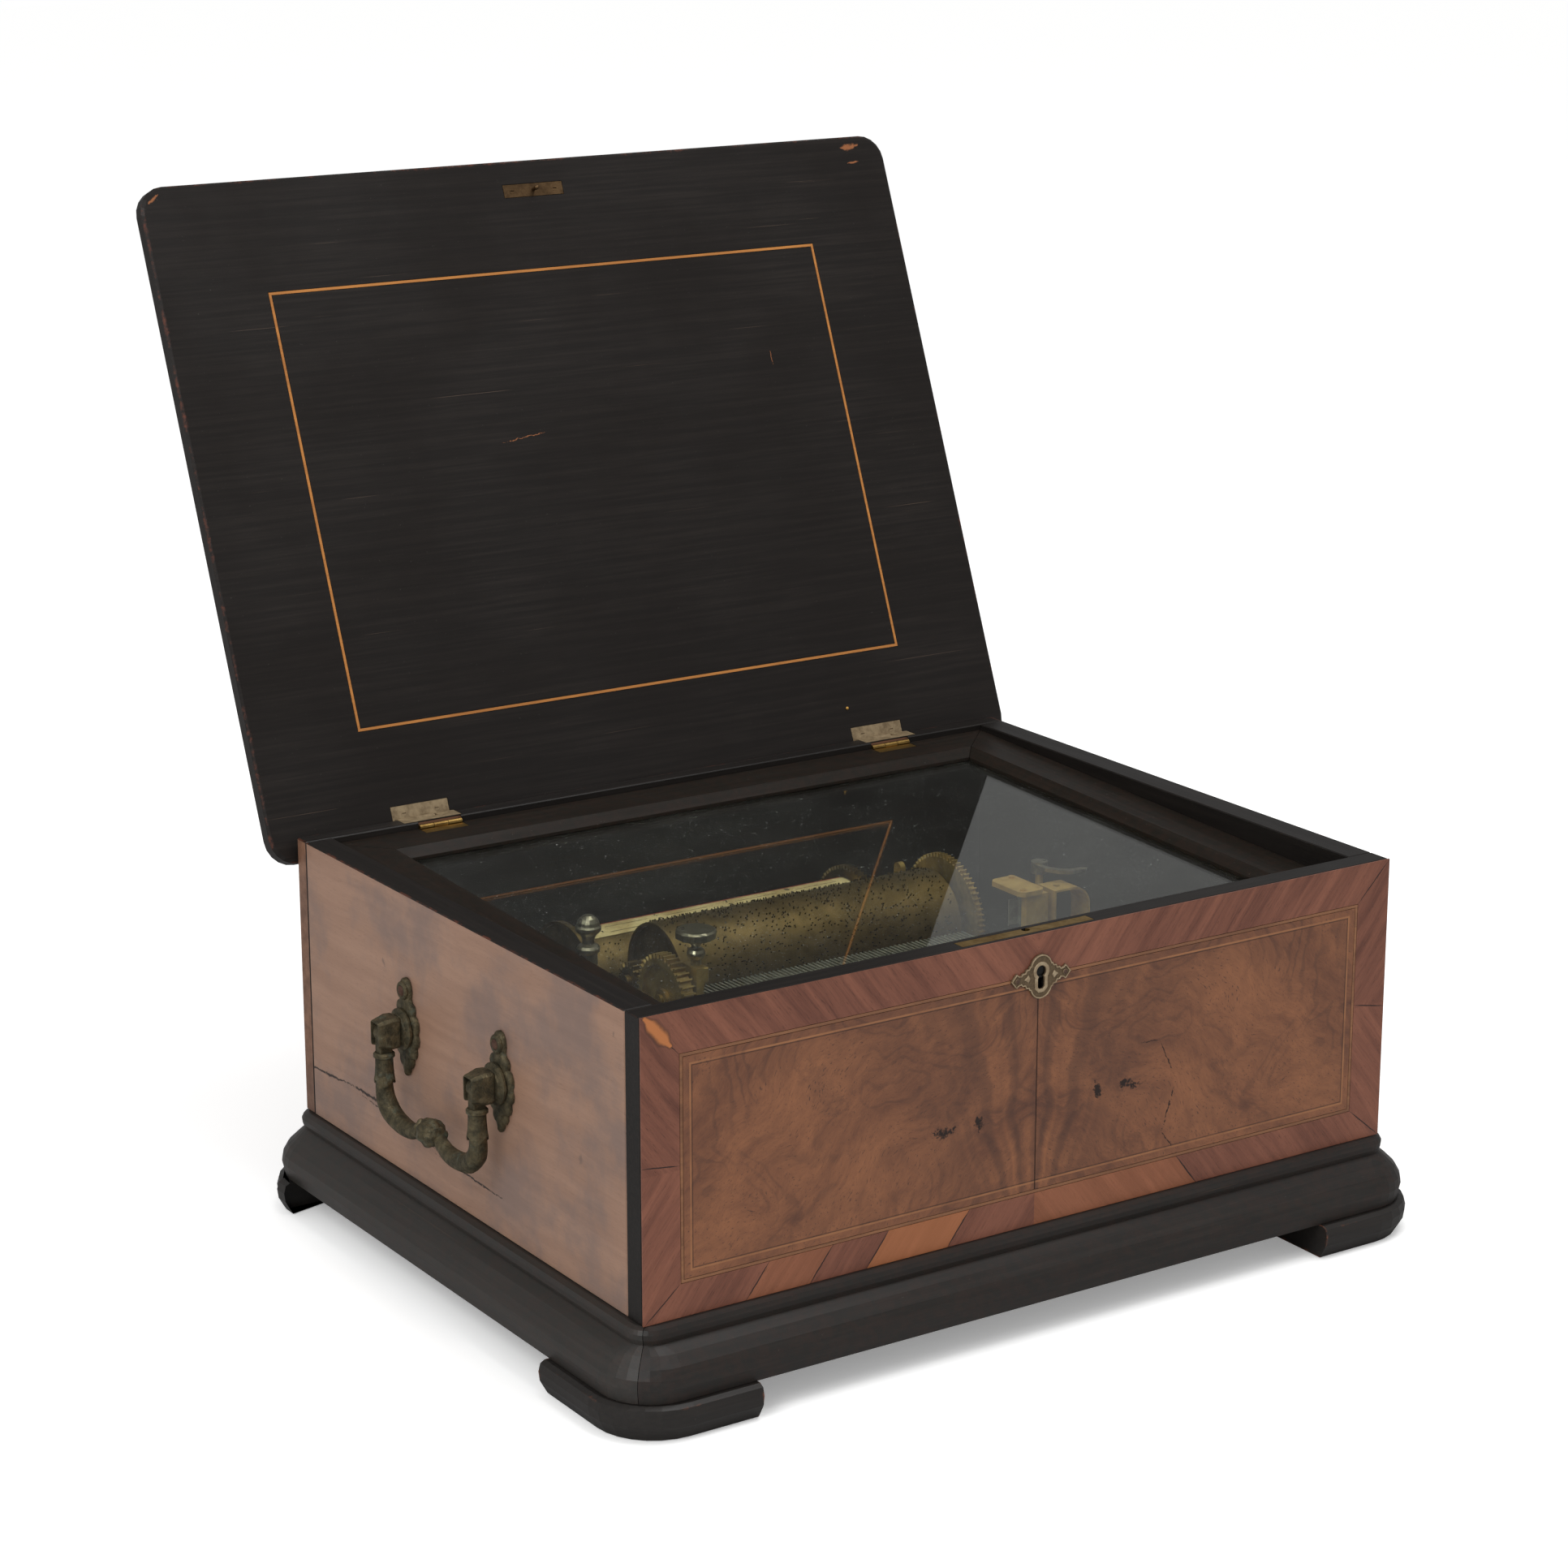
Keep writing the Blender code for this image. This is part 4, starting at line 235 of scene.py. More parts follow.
# Black stain and varnish, rubbed through to red-brown where Wear is high, with fine scuffs.
def makeBlackGroup():
    vector, entry, leave = newGroup("blackFinish", ("Color", "Roughness", "Height"),
            {"Black": shade(26, 23, 21), "Worn": shade(104, 54, 36), "Wear": 0, "Dust": 0.12, "Scuffs": 0.3})
    grain = stretched(vector, (12, 420, 420), 5, 0.62)
    cloud = noise(vector, 9, 5, 0.6)
    lift = times(ranged(grain, 0.35, 0.75), ranged(cloud, 0.3, 0.8, 0.4, 1))
    lighter = blended(1, entry["Black"], (0.009, 0.0068, 0.0055, 1), "ADD")
    colour = blended(lift, entry["Black"], lighter)
    long = stretched(vector, (7, 900, 700), 2, 0.5)
    scuff = times(ranged(long, 0.715, 0.76), ranged(cloud, 0.42, 0.62))
    colour = blended(times(scuff, entry["Scuffs"]), colour, (0.1, 0.065, 0.045, 1))
    patchy = noise(vector, 160, 6, 0.72)
    worn = times(entry["Wear"], ranged(patchy, 0.4, 0.62))
    colour = blended(worn, colour, entry["Worn"])
    speck = noise(vector, 800, 2)
    dust = times(ranged(speck, 0.72, 0.8), entry["Dust"])
    plug(leave["Color"], blended(dust, colour, (0.3, 0.28, 0.25, 1)))
    rough = ranged(cloud, 0.3, 0.7, 0.34, 0.48)
    plug(leave["Roughness"], timesPlus(worn, 0.2, rough))
    plug(leave["Height"], minus(grain, times(scuff, 0.5)))


# Metal with dull patches and hair scratches; Tarnish spreads the dull colour.
def makeMetalGroup():
    vector, entry, leave = newGroup("agedMetal", ("Color", "Roughness", "Height"),
            {"Bright": (0.6, 0.45, 0.2, 1), "Dull": (0.2, 0.15, 0.08, 1), "Tarnish": 0.5, "Polish": 0.25,
                "Grit": 110})
    cloud = noise(vector, entry["Grit"], 7, 0.7)
    fine = stretched(vector, (500, 2600, 2600), 3)
    spread = timesPlus(entry["Tarnish"], 0.6, cloud)
    stain = ranged(spread, 0.45, 1.02)
    plug(leave["Color"], blended(stain, entry["Bright"], entry["Dull"]))
    rough = timesPlus(stain, 0.22, entry["Polish"])
    plug(leave["Roughness"], timesPlus(fine, 0.1, rough))
    plug(leave["Height"], timesPlus(cloud, 2, fine))


# Book-matched burr: clouds of brown and orange with curling contour lines, dark flames that rise from
# the foot of the joint, and fine pores. X is the distance from the joint and Z the height.
def makeBurrGroup():
    vector, entry, leave = newGroup("burrVeneer", ("Color", "Height"),
            {"Brown": (0.16, 0.08, 0.045, 1), "Orange": (0.24, 0.12, 0.055, 1),
                "Dark": (0.07, 0.04, 0.03, 1)})
    parts = parted(vector)
    height = plus(parts[2], 0.045)
    swirl = vectorMaths("MULTIPLY", noise(vector, 12, 3, 0.5, output="Color"), (0.06, 0.06, 0.06))
    bent = vectorMaths("ADD", vector, swirl)
    slant = turned(bent, (0, radians(-38), 0))
    cloud = stretched(slant, (12, 28, 28), 5, 0.6)
    curl = stretched(slant, (60, 150, 150), 6, 0.7)
    silk = stretched(slant, (110, 800, 800), 4, 0.65)
    tone = timesPlus(ranged(cloud, 0.3, 0.7), 0.62, times(ranged(curl, 0.28, 0.72), 0.38))
    tone = timesPlus(minus(silk, 0.5), 0.6, tone, clamp=True)
    colour = blended(tone, entry["Brown"], entry["Orange"])
    contour = noise(bent, 9, 3, 0.5)
    contour = maths("SINE", timesPlus(curl, 5, times(contour, 130)))
    contour = times(ranged(contour, 0.3, 1), ranged(cloud, 0.62, 0.35, 0.06, 0.34))
    colour = blended(contour, colour, entry["Dark"])
    angle = maths("ARCTAN2", parts[0], height)
    wave = timesPlus(cloud, 0.16, angle)
    streak = noise(joined(times(wave, 8), height, 3.7), 1, 3, 0.5)
    near = ranged(angle, 0.1, 0.8, 1, 0)
    flame = times(ranged(streak, 0.42, 0.6), near)
    colour = blended(times(flame, 0.52), colour, entry["Dark"])
    fire = times(ranged(streak, 0.46, 0.34), ranged(height, 0.15, 0.06))
    fire = times(fire, ranged(angle, 0.5, 1, 1, 0))
    colour = blended(times(fire, 0.32), colour, shade(158, 100, 58))
    pore = stretched(slant, (420, 1500, 1500), 2)
    pores = times(ranged(pore, 0.6, 0.7), ranged(cloud, 0.35, 0.6, 0.3, 0.75))
    colour = blended(pores, colour, entry["Dark"])
    plug(leave["Color"], colour)
    plug(leave["Height"], minus(silk, pores))


makeGrainGroup()
makeEdgeGroup()
makeInsideGroup()
makeStrokeGroup()
makeBlackGroup()
makeMetalGroup()
makeBurrGroup()
print("stage: shader groups")


def newMaterial(name):
    material = bpy.data.materials.new(name)
    material.use_nodes = True
    return material, addNode("TexCoord", {}, material.node_tree).outputs["Object"]


def finish(material, colour, rough, height, bump, specular=0.5, metallic=0):
    values = {"Base Color": colour, "Roughness": rough, "Specular IOR Level": specular, "Metallic": metallic,
            "Normal": addNode("Bump", {"Height": height, "Distance": bump}).outputs[0]}
    plugAll(material.node_tree.nodes["Principled BSDF"].inputs, values)
    return material


# A group's node, whose inputs take the settings of the same names in small letters.
def grouped(group, vector, settings):
    node = addNode("Group", {"Vector": vector}, node_tree=bpy.data.node_groups[group])
    for socket in node.inputs:
        if socket.name.lower() in settings:
            plug(socket, settings[socket.name.lower()])
    return node.outputs


def inCase(place):
    return vectorMaths("SUBTRACT", place, caseOrigin)


# Turns row coordinates back to those of the shut lid, so its grain and edges stay square to it.
def shutPlace(place, axis, angle):
    return turned(place, (angle, 0, 0), axis - Matrix.Rotation(angle, 3, "X") @ axis)


# Strokes on a flat face, from rows in millimetres: both ends in the face, width and wander.
def faceMarks(axis, level, rows):
    marks = []
    for row in rows:
        values = [value / 1000 for value in row]
        start, end = values[:2], values[2:4]
        start.insert(axis, level)
        end.insert(axis, level)
        marks.append({"from": start, "to": end, "width": values[4], "wander": values[5]})
    return marks


def strokes(vector, colour, marks, ink, core=0.35):
    for mark in marks:
        colour = blended(grouped("ragStroke", vector, dict(mark, core=core))["Mask"], colour, ink)
    return colour


def assign(material, *names):
    for name in names:
        nodes[name].data.materials[0] = material


def pairs(*names):
    return [name + side for name in names for side in ("_left", "_right")]


def blackMaterial(name, settings):
    material, place = newMaterial(name)
    if "shutAxis" in settings:
        place = shutPlace(place, settings["shutAxis"], settings["shutAngle"])
    if "low" in settings:
        settings = dict(settings, wear=grouped("boxEdge", place, settings)["Mask"])
    black = grouped("blackFinish", turned(place, settings.get("turn", (0, 0, 0))), settings)
    return finish(material, black["Color"], black["Roughness"], black["Height"], 0.00006,
            settings.get("specular", 0.3))


# Painted shade: the keyhole's dark, painted on the wood where the plate's opening is a little wider than the
# hole behind it.
def darkKeyhole(place, colour):
    marks = faceMarks(1, -halfDepth, ((1, 153, 1, 133, 5.4, 0),))
    return strokes(inCase(place), colour, marks, (0.004, 0.003, 0.002, 1), 0.8)


def woodMaterial(name, settings):
    material, place = newMaterial(name)
    wood = grouped("woodGrain", turned(place, settings.get("turn", (0, 0, 0))), settings)
    # Where asked, the keyhole's painted shade goes over the wood.
    colour = darkKeyhole(place, wood["Color"]) if settings.get("keyhole") else wood["Color"]
    rough = settings.get("rough", 0.42)
    return finish(material, colour, ranged(wood["Tone"], 0, 1, rough, rough - 0.1), wood["Height"], 0.00006,
            0.3)


def metalMaterial(name, settings):
    material, place = newMaterial(name)
    metal = grouped("agedMetal", place, settings)
    colour = metal["Color"]
    # Below the given height the colour turns dark: iron that also serves as painted shade.
    if "ironBelow" in settings:
        low = maths("LESS_THAN", parted(place)[2], settings["ironBelow"])
        colour = blended(low, colour, settings["iron"])
    return finish(material, colour, metal["Roughness"], metal["Height"], 0.00003,
            metallic=settings.get("metallic", 1))


# The case's side and back boards: wood outside, black on the rim and within; the black within is partly
# finish and partly painted shade for the dark inside the case.
sideBoard = {"turn": (0, 0, quarter), "dark": shade(120, 91, 75), "light": shade(154, 122, 102),
        "figure": 0.25, "pores": 0.35, "fibre": 0.24, "cloud": shade(104, 90, 86), "ink": shade(44, 34, 30),
        "inside": {"low": (-sideInner - 0.0006, -1, -1), "high": (sideInner + 0.0006, 1, 1)},
        "cracks": faceMarks(0, -halfWidth, ((189, 29, 133.8, 33, 1.1, 4), (136, 33.2, 70, 34.5, 1.3, 5),
            (118, 31, 28, 26.2, 0.9, 4), (32, 24, -46.5, 21.8, 0.8, 4))),
        "stains": faceMarks(0, -halfWidth, ((-129, 70, -130, 74.5, 3.5, 6), (-164, 150, -165, 153, 1.6, 4),
            (85, 118, 87, 123, 2.2, 6)))}


def caseBoardMaterial(name, settings):
    material, place = newMaterial(name)
    vector = inCase(place)
    turn = settings.get("turn", (0, 0, 0))
    wood = grouped("woodGrain", turned(vector, turn), settings)
    blotch = noise(vector, 17, 7, 0.62)
    colour = blended(ranged(blotch, 0.44, 0.66, 0, 0.6), wood["Color"], settings["cloud"])
    speck = noise(vector, 420, 2)
    colour = blended(ranged(speck, 0.7, 0.76, 0, 0.35), colour, shade(90, 70, 60))
    colour = strokes(vector, colour, settings["stains"], shade(98, 80, 72), -0.4)
    colour = strokes(vector, colour, settings["cracks"], settings["ink"])
    rim = maths("GREATER_THAN", parted(vector)[2], caseHeight - 0.0007)
    # Inner faces go black, partly painted shade.
    dark = maths("MAXIMUM", grouped("boxInside", vector, settings["inside"])["Mask"], rim)
    edge = grouped("boxEdge", vector, {"low": (-halfWidth, -halfDepth, 0),
                "high": (halfWidth, halfDepth, caseHeight), "width": 0.0012})
    black = grouped("blackFinish", turned(vector, turn), {"dust": 0.1, "wear": times(edge["Mask"], 0.8)})
    return finish(material, blended(dark, colour, black["Color"]), ranged(wood["Tone"], 0, 1, 0.5, 0.36),
            wood["Height"], 0.00005, 0.3)


assign(caseBoardMaterial("sideWoodCracked", sideBoard), "left_side_board")
assign(caseBoardMaterial("sideWood", dict(sideBoard, cracks=(), stains=())), "right_side_board")
backBoard = {"dark": shade(84, 56, 42), "light": shade(134, 98, 76), "figure": 0.5, "fibre": 0.6,
        "pores": 0.5, "cloud": shade(90, 66, 54), "ink": shade(44, 34, 30), "cracks": (), "stains": (),
        "inside": {"low": (-1, -1, -1), "high": (1, backInner + 0.0006, 1)}}
assign(caseBoardMaterial("backWood", backBoard), "back_board")

# The bottom board is dark wood, its dark partly painted shade under the movement.
bottomWood = {"dark": shade(34, 28, 22), "light": shade(58, 48, 38), "figure": 0.6, "rough": 0.6}
assign(woodMaterial("innerFloorWood", bottomWood), "bottom_board")

# The front's two veneer sheets, with their eyes, the long crack and the inner string.
frontVeneer = {"brown": shade(94, 59, 43), "orange": shade(133, 86, 57), "dark": shade(64, 44, 38),
        "ink": shade(38, 26, 22), "line": shade(142, 96, 62),
        "cracks": faceMarks(1, -halfDepth, ((71.6, 91.6, 85, 90.5, 0.4, 3), (85, 90.5, 97.7, 65, 0.5, 4),
            (97.7, 65, 87.8, 35.8, 0.6, 5), (87.8, 35.8, 96.5, 24.9, 0.5, 3))),
        "eyes": faceMarks(1, -halfDepth, ((41, 74.5, 43, 65.5, 3, 14), (56, 70, 70, 68, 3.2, 18),
            (-67, 67.2, -53, 66.8, 3.4, 18), (-39.2, 71.5, -38, 63, 3, 14))),
        "clouds": faceMarks(1, -halfDepth, ((44, 105, 56, 65, 16, 30), (-46, 108, -56, 64, 17, 30),
            (70, 40, 62, 26, 12, 30), (-150, 125, -130, 90, 15, 50), (125, 70, 140, 50, 13, 50)))}


def rectangleLine(vector, half, width):
    fromMiddle = vectorMaths("ABSOLUTE", vectorMaths("SUBTRACT", vector, bandMiddle))
    out = parted(vectorMaths("SUBTRACT", fromMiddle, half))
    reach = maths("MAXIMUM", out[0], out[2])
    return ranged(maths("ABSOLUTE", reach), width * 0.35, width * 0.6, 1, 0)


def mirroredX(parts):
    return joined(maths("ABSOLUTE", parts[0]), parts[1], parts[2])


def frontVeneerMaterial(name, settings):
    material, place = newMaterial(name)
    vector = inCase(place)
    parts = parted(vector)
    drift = joined(times(maths("SIGN", parts[0]), 0.004), 0, 0)
    burr = grouped("burrVeneer", vectorMaths("ADD", mirroredX(parts), drift), settings)
    gloom = blended(0.6, burr["Color"], settings["dark"])
    colour = strokes(vector, burr["Color"], settings["clouds"], gloom, -0.9)
    colour = strokes(vector, colour, settings["eyes"] + settings["cracks"], settings["ink"])
    half = bandInner - Vector((stringInset, 0, stringInset))
    faded = ranged(noise(vector, 40, 3), 0.3, 0.6, 0.35, 0.9)
    colour = blended(times(rectangleLine(vector, half, 0.0011), faded), colour, settings["line"])
    gap = rectangleLine(vector, half - Vector((0.001, 0, 0.001)), 0.0007)
    colour = blended(times(gap, 0.55), colour, settings["ink"])
    joint = ranged(maths("ABSOLUTE", parts[0]), 0.0002, 0.0008, 0.6, 0)
    # The keyhole's painted shade goes over the veneer.
    colour = darkKeyhole(place, blended(joint, colour, settings["ink"]))
    return finish(material, colour, 0.36, burr["Height"], 0.00004, 0.35)


assign(frontVeneerMaterial("burrFront", frontVeneer), *pairs("front_veneer"))

# The crossbanding round the front: short slanted grain, mitred corners, joints and a chipped corner.
crossband = {"dark": shade(78, 44, 35), "light": shade(134, 84, 64), "figure": 0.42, "fibre": 0.55,
        "pores": 0.7, "ink": shade(38, 26, 24), "amber": shade(166, 102, 56), "slant": radians(52),
        "joints": faceMarks(1, -halfDepth, ((-250, 86.6, -227.2, 83.8, 0.5, 1),
            (250, 79, 227.2, 83.5, 0.5, 1), (-250, 0, -227.2, 19.1, 0.5, 1), (250, 0, 227.2, 19.1, 0.5, 1),
            (250, 167.3, 227.2, 144, 0.5, 1), (-250, 167.3, -227.2, 144, 0.5, 1),
            (-58.5, 0, -43.6, 19, 0.6, 1), (-111.5, 0, -96.7, 19, 0.6, 1), (-147.5, 0, -132.6, 19, 0.6, 1),
            (-187.5, 0, -172.6, 19, 0.6, 1), (114, 0, 99.1, 19, 0.6, 1))),
        "ambers": ((-0.0879, -0.0461, 0.85), (-0.1478, -0.1162, 0.35), (0, 0.0898, 0.4)),
        "chipRim": faceMarks(1, -halfDepth, ((-247.5, 166.5, -232.5, 149.5, 5.98, 2),)),
        "chip": faceMarks(1, -halfDepth, ((-247.5, 166.5, -232.5, 149.5, 4.6, 2),))}


def crossbandMaterial(name, settings):
    material, place = newMaterial(name)
    vector = inCase(place)
    parts = parted(vector)
    mirrored = mirroredX(parts)
    upward = turned(mirrored, (0, settings["slant"], 0))
    downward = turned(mirrored, (0, -settings["slant"], 0))
    top = maths("GREATER_THAN", parts[2], bandMiddle.z)
    bottom = maths("LESS_THAN", parts[2], (bandMiddle - bandInner).z)
    grains = [grouped("woodGrain", slanted, settings) for slanted in (upward, downward)]
    colour = blended(top, grains[1]["Color"], grains[0]["Color"])
    across = times(parted(downward)[2], maths("SIGN", parts[0]))
    warm = blended(0.6, colour, settings["amber"])
    for start, end, strength in settings["ambers"]:
        within = maths("COMPARE", across, (start + end) / 2, (end - start) / 2)
        colour = blended(times(within, times(bottom, strength)), colour, warm)
    # The keyhole's painted shade goes over the crossbanding.
    colour = darkKeyhole(place, strokes(vector, colour, settings["joints"], settings["ink"]))
    colour = strokes(vector, colour, settings["chipRim"], settings["ink"])
    colour = strokes(vector, colour, settings["chip"], settings["amber"])
    return finish(material, colour, 0.36, grains[0]["Height"], 0.00004, 0.35)


assign(crossbandMaterial("crossbandWood", crossband), "front_crossbanding")

# The front string also takes the keyhole's painted shade.
frontString = {"dark": shade(96, 64, 46), "light": shade(136, 94, 64), "figure": 0.5, "pores": 0.4,
        "keyhole": True}
assign(woodMaterial("frontStringWood", frontString), "front_stringing")
lidString = {"dark": shade(146, 92, 44), "light": shade(182, 122, 62), "figure": 0.5, "pores": 0.3}
assign(woodMaterial("lidStringWood", lidString), "lid_stringing")

boxLow = caseOrigin + Vector((-halfWidth, -halfDepth, 0))
boxHigh = caseOrigin + Vector((halfWidth, halfDepth, caseHeight))
frontRim = {"low": boxLow, "high": boxHigh, "width": 0.0005, "specular": 0.22}
assign(blackMaterial("frontRim", frontRim), "front_board")

mouldingBlack = {"wear": 0.05, "black": shade(36, 34, 32), "scuffs": 0.5, "specular": 0.28}
assign(blackMaterial("mouldingBlack", mouldingBlack), "moulding_front", "moulding_back")
# The side mouldings take a lighter black than the front ones: painted light for the lit side.
litSideBlack = dict(mouldingBlack, turn=(0, 0, quarter), black=shade(42, 40, 37), specular=0.5)
assign(blackMaterial("mouldingBlackSideLit", litSideBlack), *pairs("moulding"))
footBlack = {"black": shade(33, 30, 28), "width": 0.0016, "specular": 0.4, "worn": shade(116, 66, 42)}
for foot in pairs("foot_front", "foot_back"):
    low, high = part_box(foot)
    footBlack.update(low=Vector(low), high=Vector(high))
    assign(blackMaterial("footBlack", footBlack), foot)

# The outer lid: black within and on its edges, rosewood on its outer face.
lidUnder = 0.2246
lidPanel = {"low": Vector((-0.2643, -0.26985, lidUnder)), "high": Vector((0.2643, 0.13595, 0.2376)),
        "width": 0.0016, "dark": shade(66, 42, 36), "light": shade(120, 80, 62), "pores": 0.6,
        "black": shade(25, 21, 19), "scuffs": 0.55, "dust": 0.1, "nick": shade(136, 84, 50),
        "nicks": faceMarks(2, lidUnder, ((-259, -260, -252, -264.5, 1, 4), (232, -262, 245, -263.5, 2.4, 6),
            (235, -252, 243, -252.6, 0.9, 3), (-60, -95, -28, -99, 0.4, 4),
            (145, -135, 145.5, -125, 0.3, 2)))}


def lidMaterial(name, settings):
    material, place = newMaterial(name)
    vector = shutPlace(place, lidAxis, lidOpen)
    wear = grouped("boxEdge", vector, settings)["Mask"]
    black = grouped("blackFinish", turned(vector, (0, 0, 0)), dict(settings, wear=wear))
    colour = strokes(vector, black["Color"], settings["nicks"], settings["nick"])
    wood = grouped("woodGrain", vector, settings)
    outside = maths("GREATER_THAN", parted(vector)[2], settings["high"].z - 0.003)
    return finish(material, blended(outside, colour, wood["Color"]), black["Roughness"], black["Height"],
            0.00005, 0.28)


assign(lidMaterial("lidBlack", lidPanel), "lid_panel")

glassRail = {"shutAxis": glassAxis, "shutAngle": -glassSlope, "wear": 0.04, "dust": 0.3,
        "black": shade(29, 26, 22), "specular": 0.12}
assign(blackMaterial("railBlack", glassRail), "glass_rail_front", "glass_rail_back")
assign(blackMaterial("railBlackSide", dict(glassRail, turn=(0, 0, quarter))), *pairs("glass_rail"))

brassMovement = {"bright": shade(206, 172, 100), "dull": shade(128, 104, 58), "tarnish": 0.45, "polish": 0.32,
        "grit": 60, "metallic": 0.75}
assign(metalMaterial("movementBrass", brassMovement), "bedplate", "spare_cradle", "left_cock", "right_cock",
        "great_wheel", "drive_wheel", "barrel", "intermediate_wheel")
# The governor's brass is a lighter, less metallic copy of the movement brass: painted light for its brightly
# lit tops.
litGovernorBrass = {"bright": shade(216, 176, 100), "dull": shade(150, 116, 64), "tarnish": 0.3, "polish": 0.36,
        "grit": 90, "metallic": 0.5}
assign(metalMaterial("governorBrassLit", litGovernorBrass), "governor_frame", "governor_cap", "fly_cover")
brassFittings = {"bright": shade(190, 156, 90), "dull": shade(120, 92, 52), "tarnish": 0.35, "polish": 0.28}
assign(metalMaterial("fittingBrass", brassFittings), *pairs("glass_hinge_case_leaf",
            "glass_hinge_frame_leaf"))
# The lock is dark below its selvage: partly iron, partly painted shade for the dark seen through the keyhole.
lockMetal = dict(brassFittings, ironBelow=caseOrigin.z + caseHeight - 0.004, iron=shade(30, 27, 25))
assign(metalMaterial("lockMetal", lockMetal), "lock")
wornNickel = {"bright": shade(196, 188, 168), "dull": shade(132, 118, 92), "tarnish": 0.3, "polish": 0.2}
assign(metalMaterial("wornNickel", wornNickel), "winding_lever", "thumbscrew", "brake_lever")
hingeNickel = {"bright": shade(168, 148, 116), "dull": shade(104, 86, 62), "tarnish": 0.35, "polish": 0.34,
        "metallic": 0.45, "grit": 160}
assign(metalMaterial("hingeNickel", hingeNickel), *pairs("lid_hinge_case_leaf", "lid_hinge_lid_leaf"))
catchBronze = {"bright": shade(140, 112, 80), "dull": shade(84, 66, 48), "tarnish": 0.5, "polish": 0.34}
assign(metalMaterial("catchBronze", catchBronze), "catch_plate")
combSteel = {"bright": shade(164, 162, 150), "dull": shade(92, 88, 76), "tarnish": 0.3, "polish": 0.3,
        "metallic": 0.6}
assign(metalMaterial("combSteel", combSteel), "comb", "worm_fly")


# Dark bronze of the handles, green and bare brown in patches.
def bronzeMaterial(name, settings):
    material, place = newMaterial(name)
    metal = grouped("agedMetal", place, settings)
    patch = noise(place, 70, 5, 0.7)
    green = ranged(patch, 0.54, 0.7, 0, 0.8)
    vein = noise(place, 420, 3, 0.6, 1.2)
    return finish(material, blended(green, metal["Color"], settings["green"]),
            timesPlus(green, 0.2, metal["Roughness"]), timesPlus(vein, 0.8, patch), 0.0007,
            metallic=minus(0.85, green))


handleBronze = {"bright": shade(134, 121, 92), "dull": shade(70, 67, 55), "green": shade(56, 70, 60),
        "tarnish": 0.5, "polish": 0.4, "grit": 180}


# The barrel brass of both cylinders: tarnished brass with turned rings.
def cylinderMaterial(name, settings):
    material, place = newMaterial(name)
    metal = grouped("agedMetal", place, settings)
    rings = noise(joined(times(parted(place)[0], 1800), 0, 0), 1, 2)
    colour = blended(ranged(rings, 0.35, 0.7, 0, 0.25), metal["Color"], settings["dull"])
    return finish(material, colour, metal["Roughness"], rings, 0.00002, metallic=1)


cylinderBrass = {"bright": shade(152, 126, 80), "dull": shade(90, 72, 42), "tarnish": 0.42, "polish": 0.34,
        "grit": 30}
cylinderFinish = cylinderMaterial("cylinderBrass", cylinderBrass)
assign(cylinderFinish, "cylinder", "spare_cylinder")

tuneStrip = {"dark": shade(176, 150, 100), "light": shade(214, 192, 142), "red": shade(150, 50, 42),
        "redFrom": 0.0592}


def paperMaterial(name, settings):
    material, place = newMaterial(name)
    colour = blended(ranged(noise(place, 60, 5, 0.65), 0.35, 0.7), settings["light"], settings["dark"])
    red = maths("GREATER_THAN", parted(place)[1], settings["redFrom"])
    return finish(material, blended(red, colour, settings["red"]), 0.8, noise(place, 900, 3), 0.00003)


assign(paperMaterial("creamPaper", tuneStrip), "tune_strip")

paneGlass = {"tint": (0.84, 0.875, 0.82, 1), "haze": (0.5, 0.52, 0.48, 1)}


def glassMaterial(name, settings):
    material, place = newMaterial(name)
    tree = material.node_tree
    shader = tree.nodes["Principled BSDF"]
    speck = noise(place, 900, 2)
    cloud = noise(place, 16, 5, 0.65)
    dust = times(ranged(speck, 0.7, 0.75), ranged(cloud, 0.3, 0.6, 0.2, 0.9))
    film = timesPlus(ranged(cloud, 0.35, 0.75), 0.01, 0.003)
    plugAll(shader.inputs, {"Roughness": times(ranged(cloud, 0.4, 0.8), 0.04), "Base Color": settings["tint"],
                "Transmission Weight": 1, "IOR": 1.5})
    haze = addNode("BsdfDiffuse", {"Color": settings["haze"]}, tree)
    dusty = addNode("MixShader", {0: plus(dust, film, clamp=True), 1: shader.outputs[0], 2: haze.outputs[0]})
    clear = addNode("BsdfTransparent", {"Color": settings["tint"]}, tree)
    shadow = addNode("LightPath", {}, tree).outputs["Is Shadow Ray"]
    mix = addNode("MixShader", {0: shadow, 1: dusty.outputs[0], 2: clear.outputs[0]})
    plug(tree.nodes["Material Output"].inputs["Surface"], mix.outputs[0])
    return material


assign(glassMaterial("paneGlass", paneGlass), "glass_pane")
print("stage: materials on the frame")


def newObject(name, data):
    item = bpy.data.objects.new(name, data)
    bpy.context.scene.collection.objects.link(item)
    return item


def newPiece(name, bm, material, smooth=False):
    bmesh.ops.recalc_face_normals(bm, faces=bm.faces[:])
    for face in bm.faces:
        face.smooth = smooth
    mesh = bpy.data.meshes.new(name)
    bm.to_mesh(mesh)
    bm.free()
    mesh.materials.append(material)
    return newObject(name, mesh)


def joinLoops(bm, first, second):
    for i in range(len(first)):
        j = (i + 1) % len(first)
        bm.faces.new((first[i], first[j], second[j], second[i]))


# Joins rows of points, each as long as the last, into a body with flat ends or round into a ring.
def stackRings(bm, rings, closed=False):
    loops = [[bm.verts.new(point) for point in ring] for ring in rings]
    for first, second in zip(loops, loops[1:] + (loops[:1] if closed else [])):
        joinLoops(bm, first, second)
    if not closed:
        bm.faces.new(loops[0])
        bm.faces.new(loops[-1])


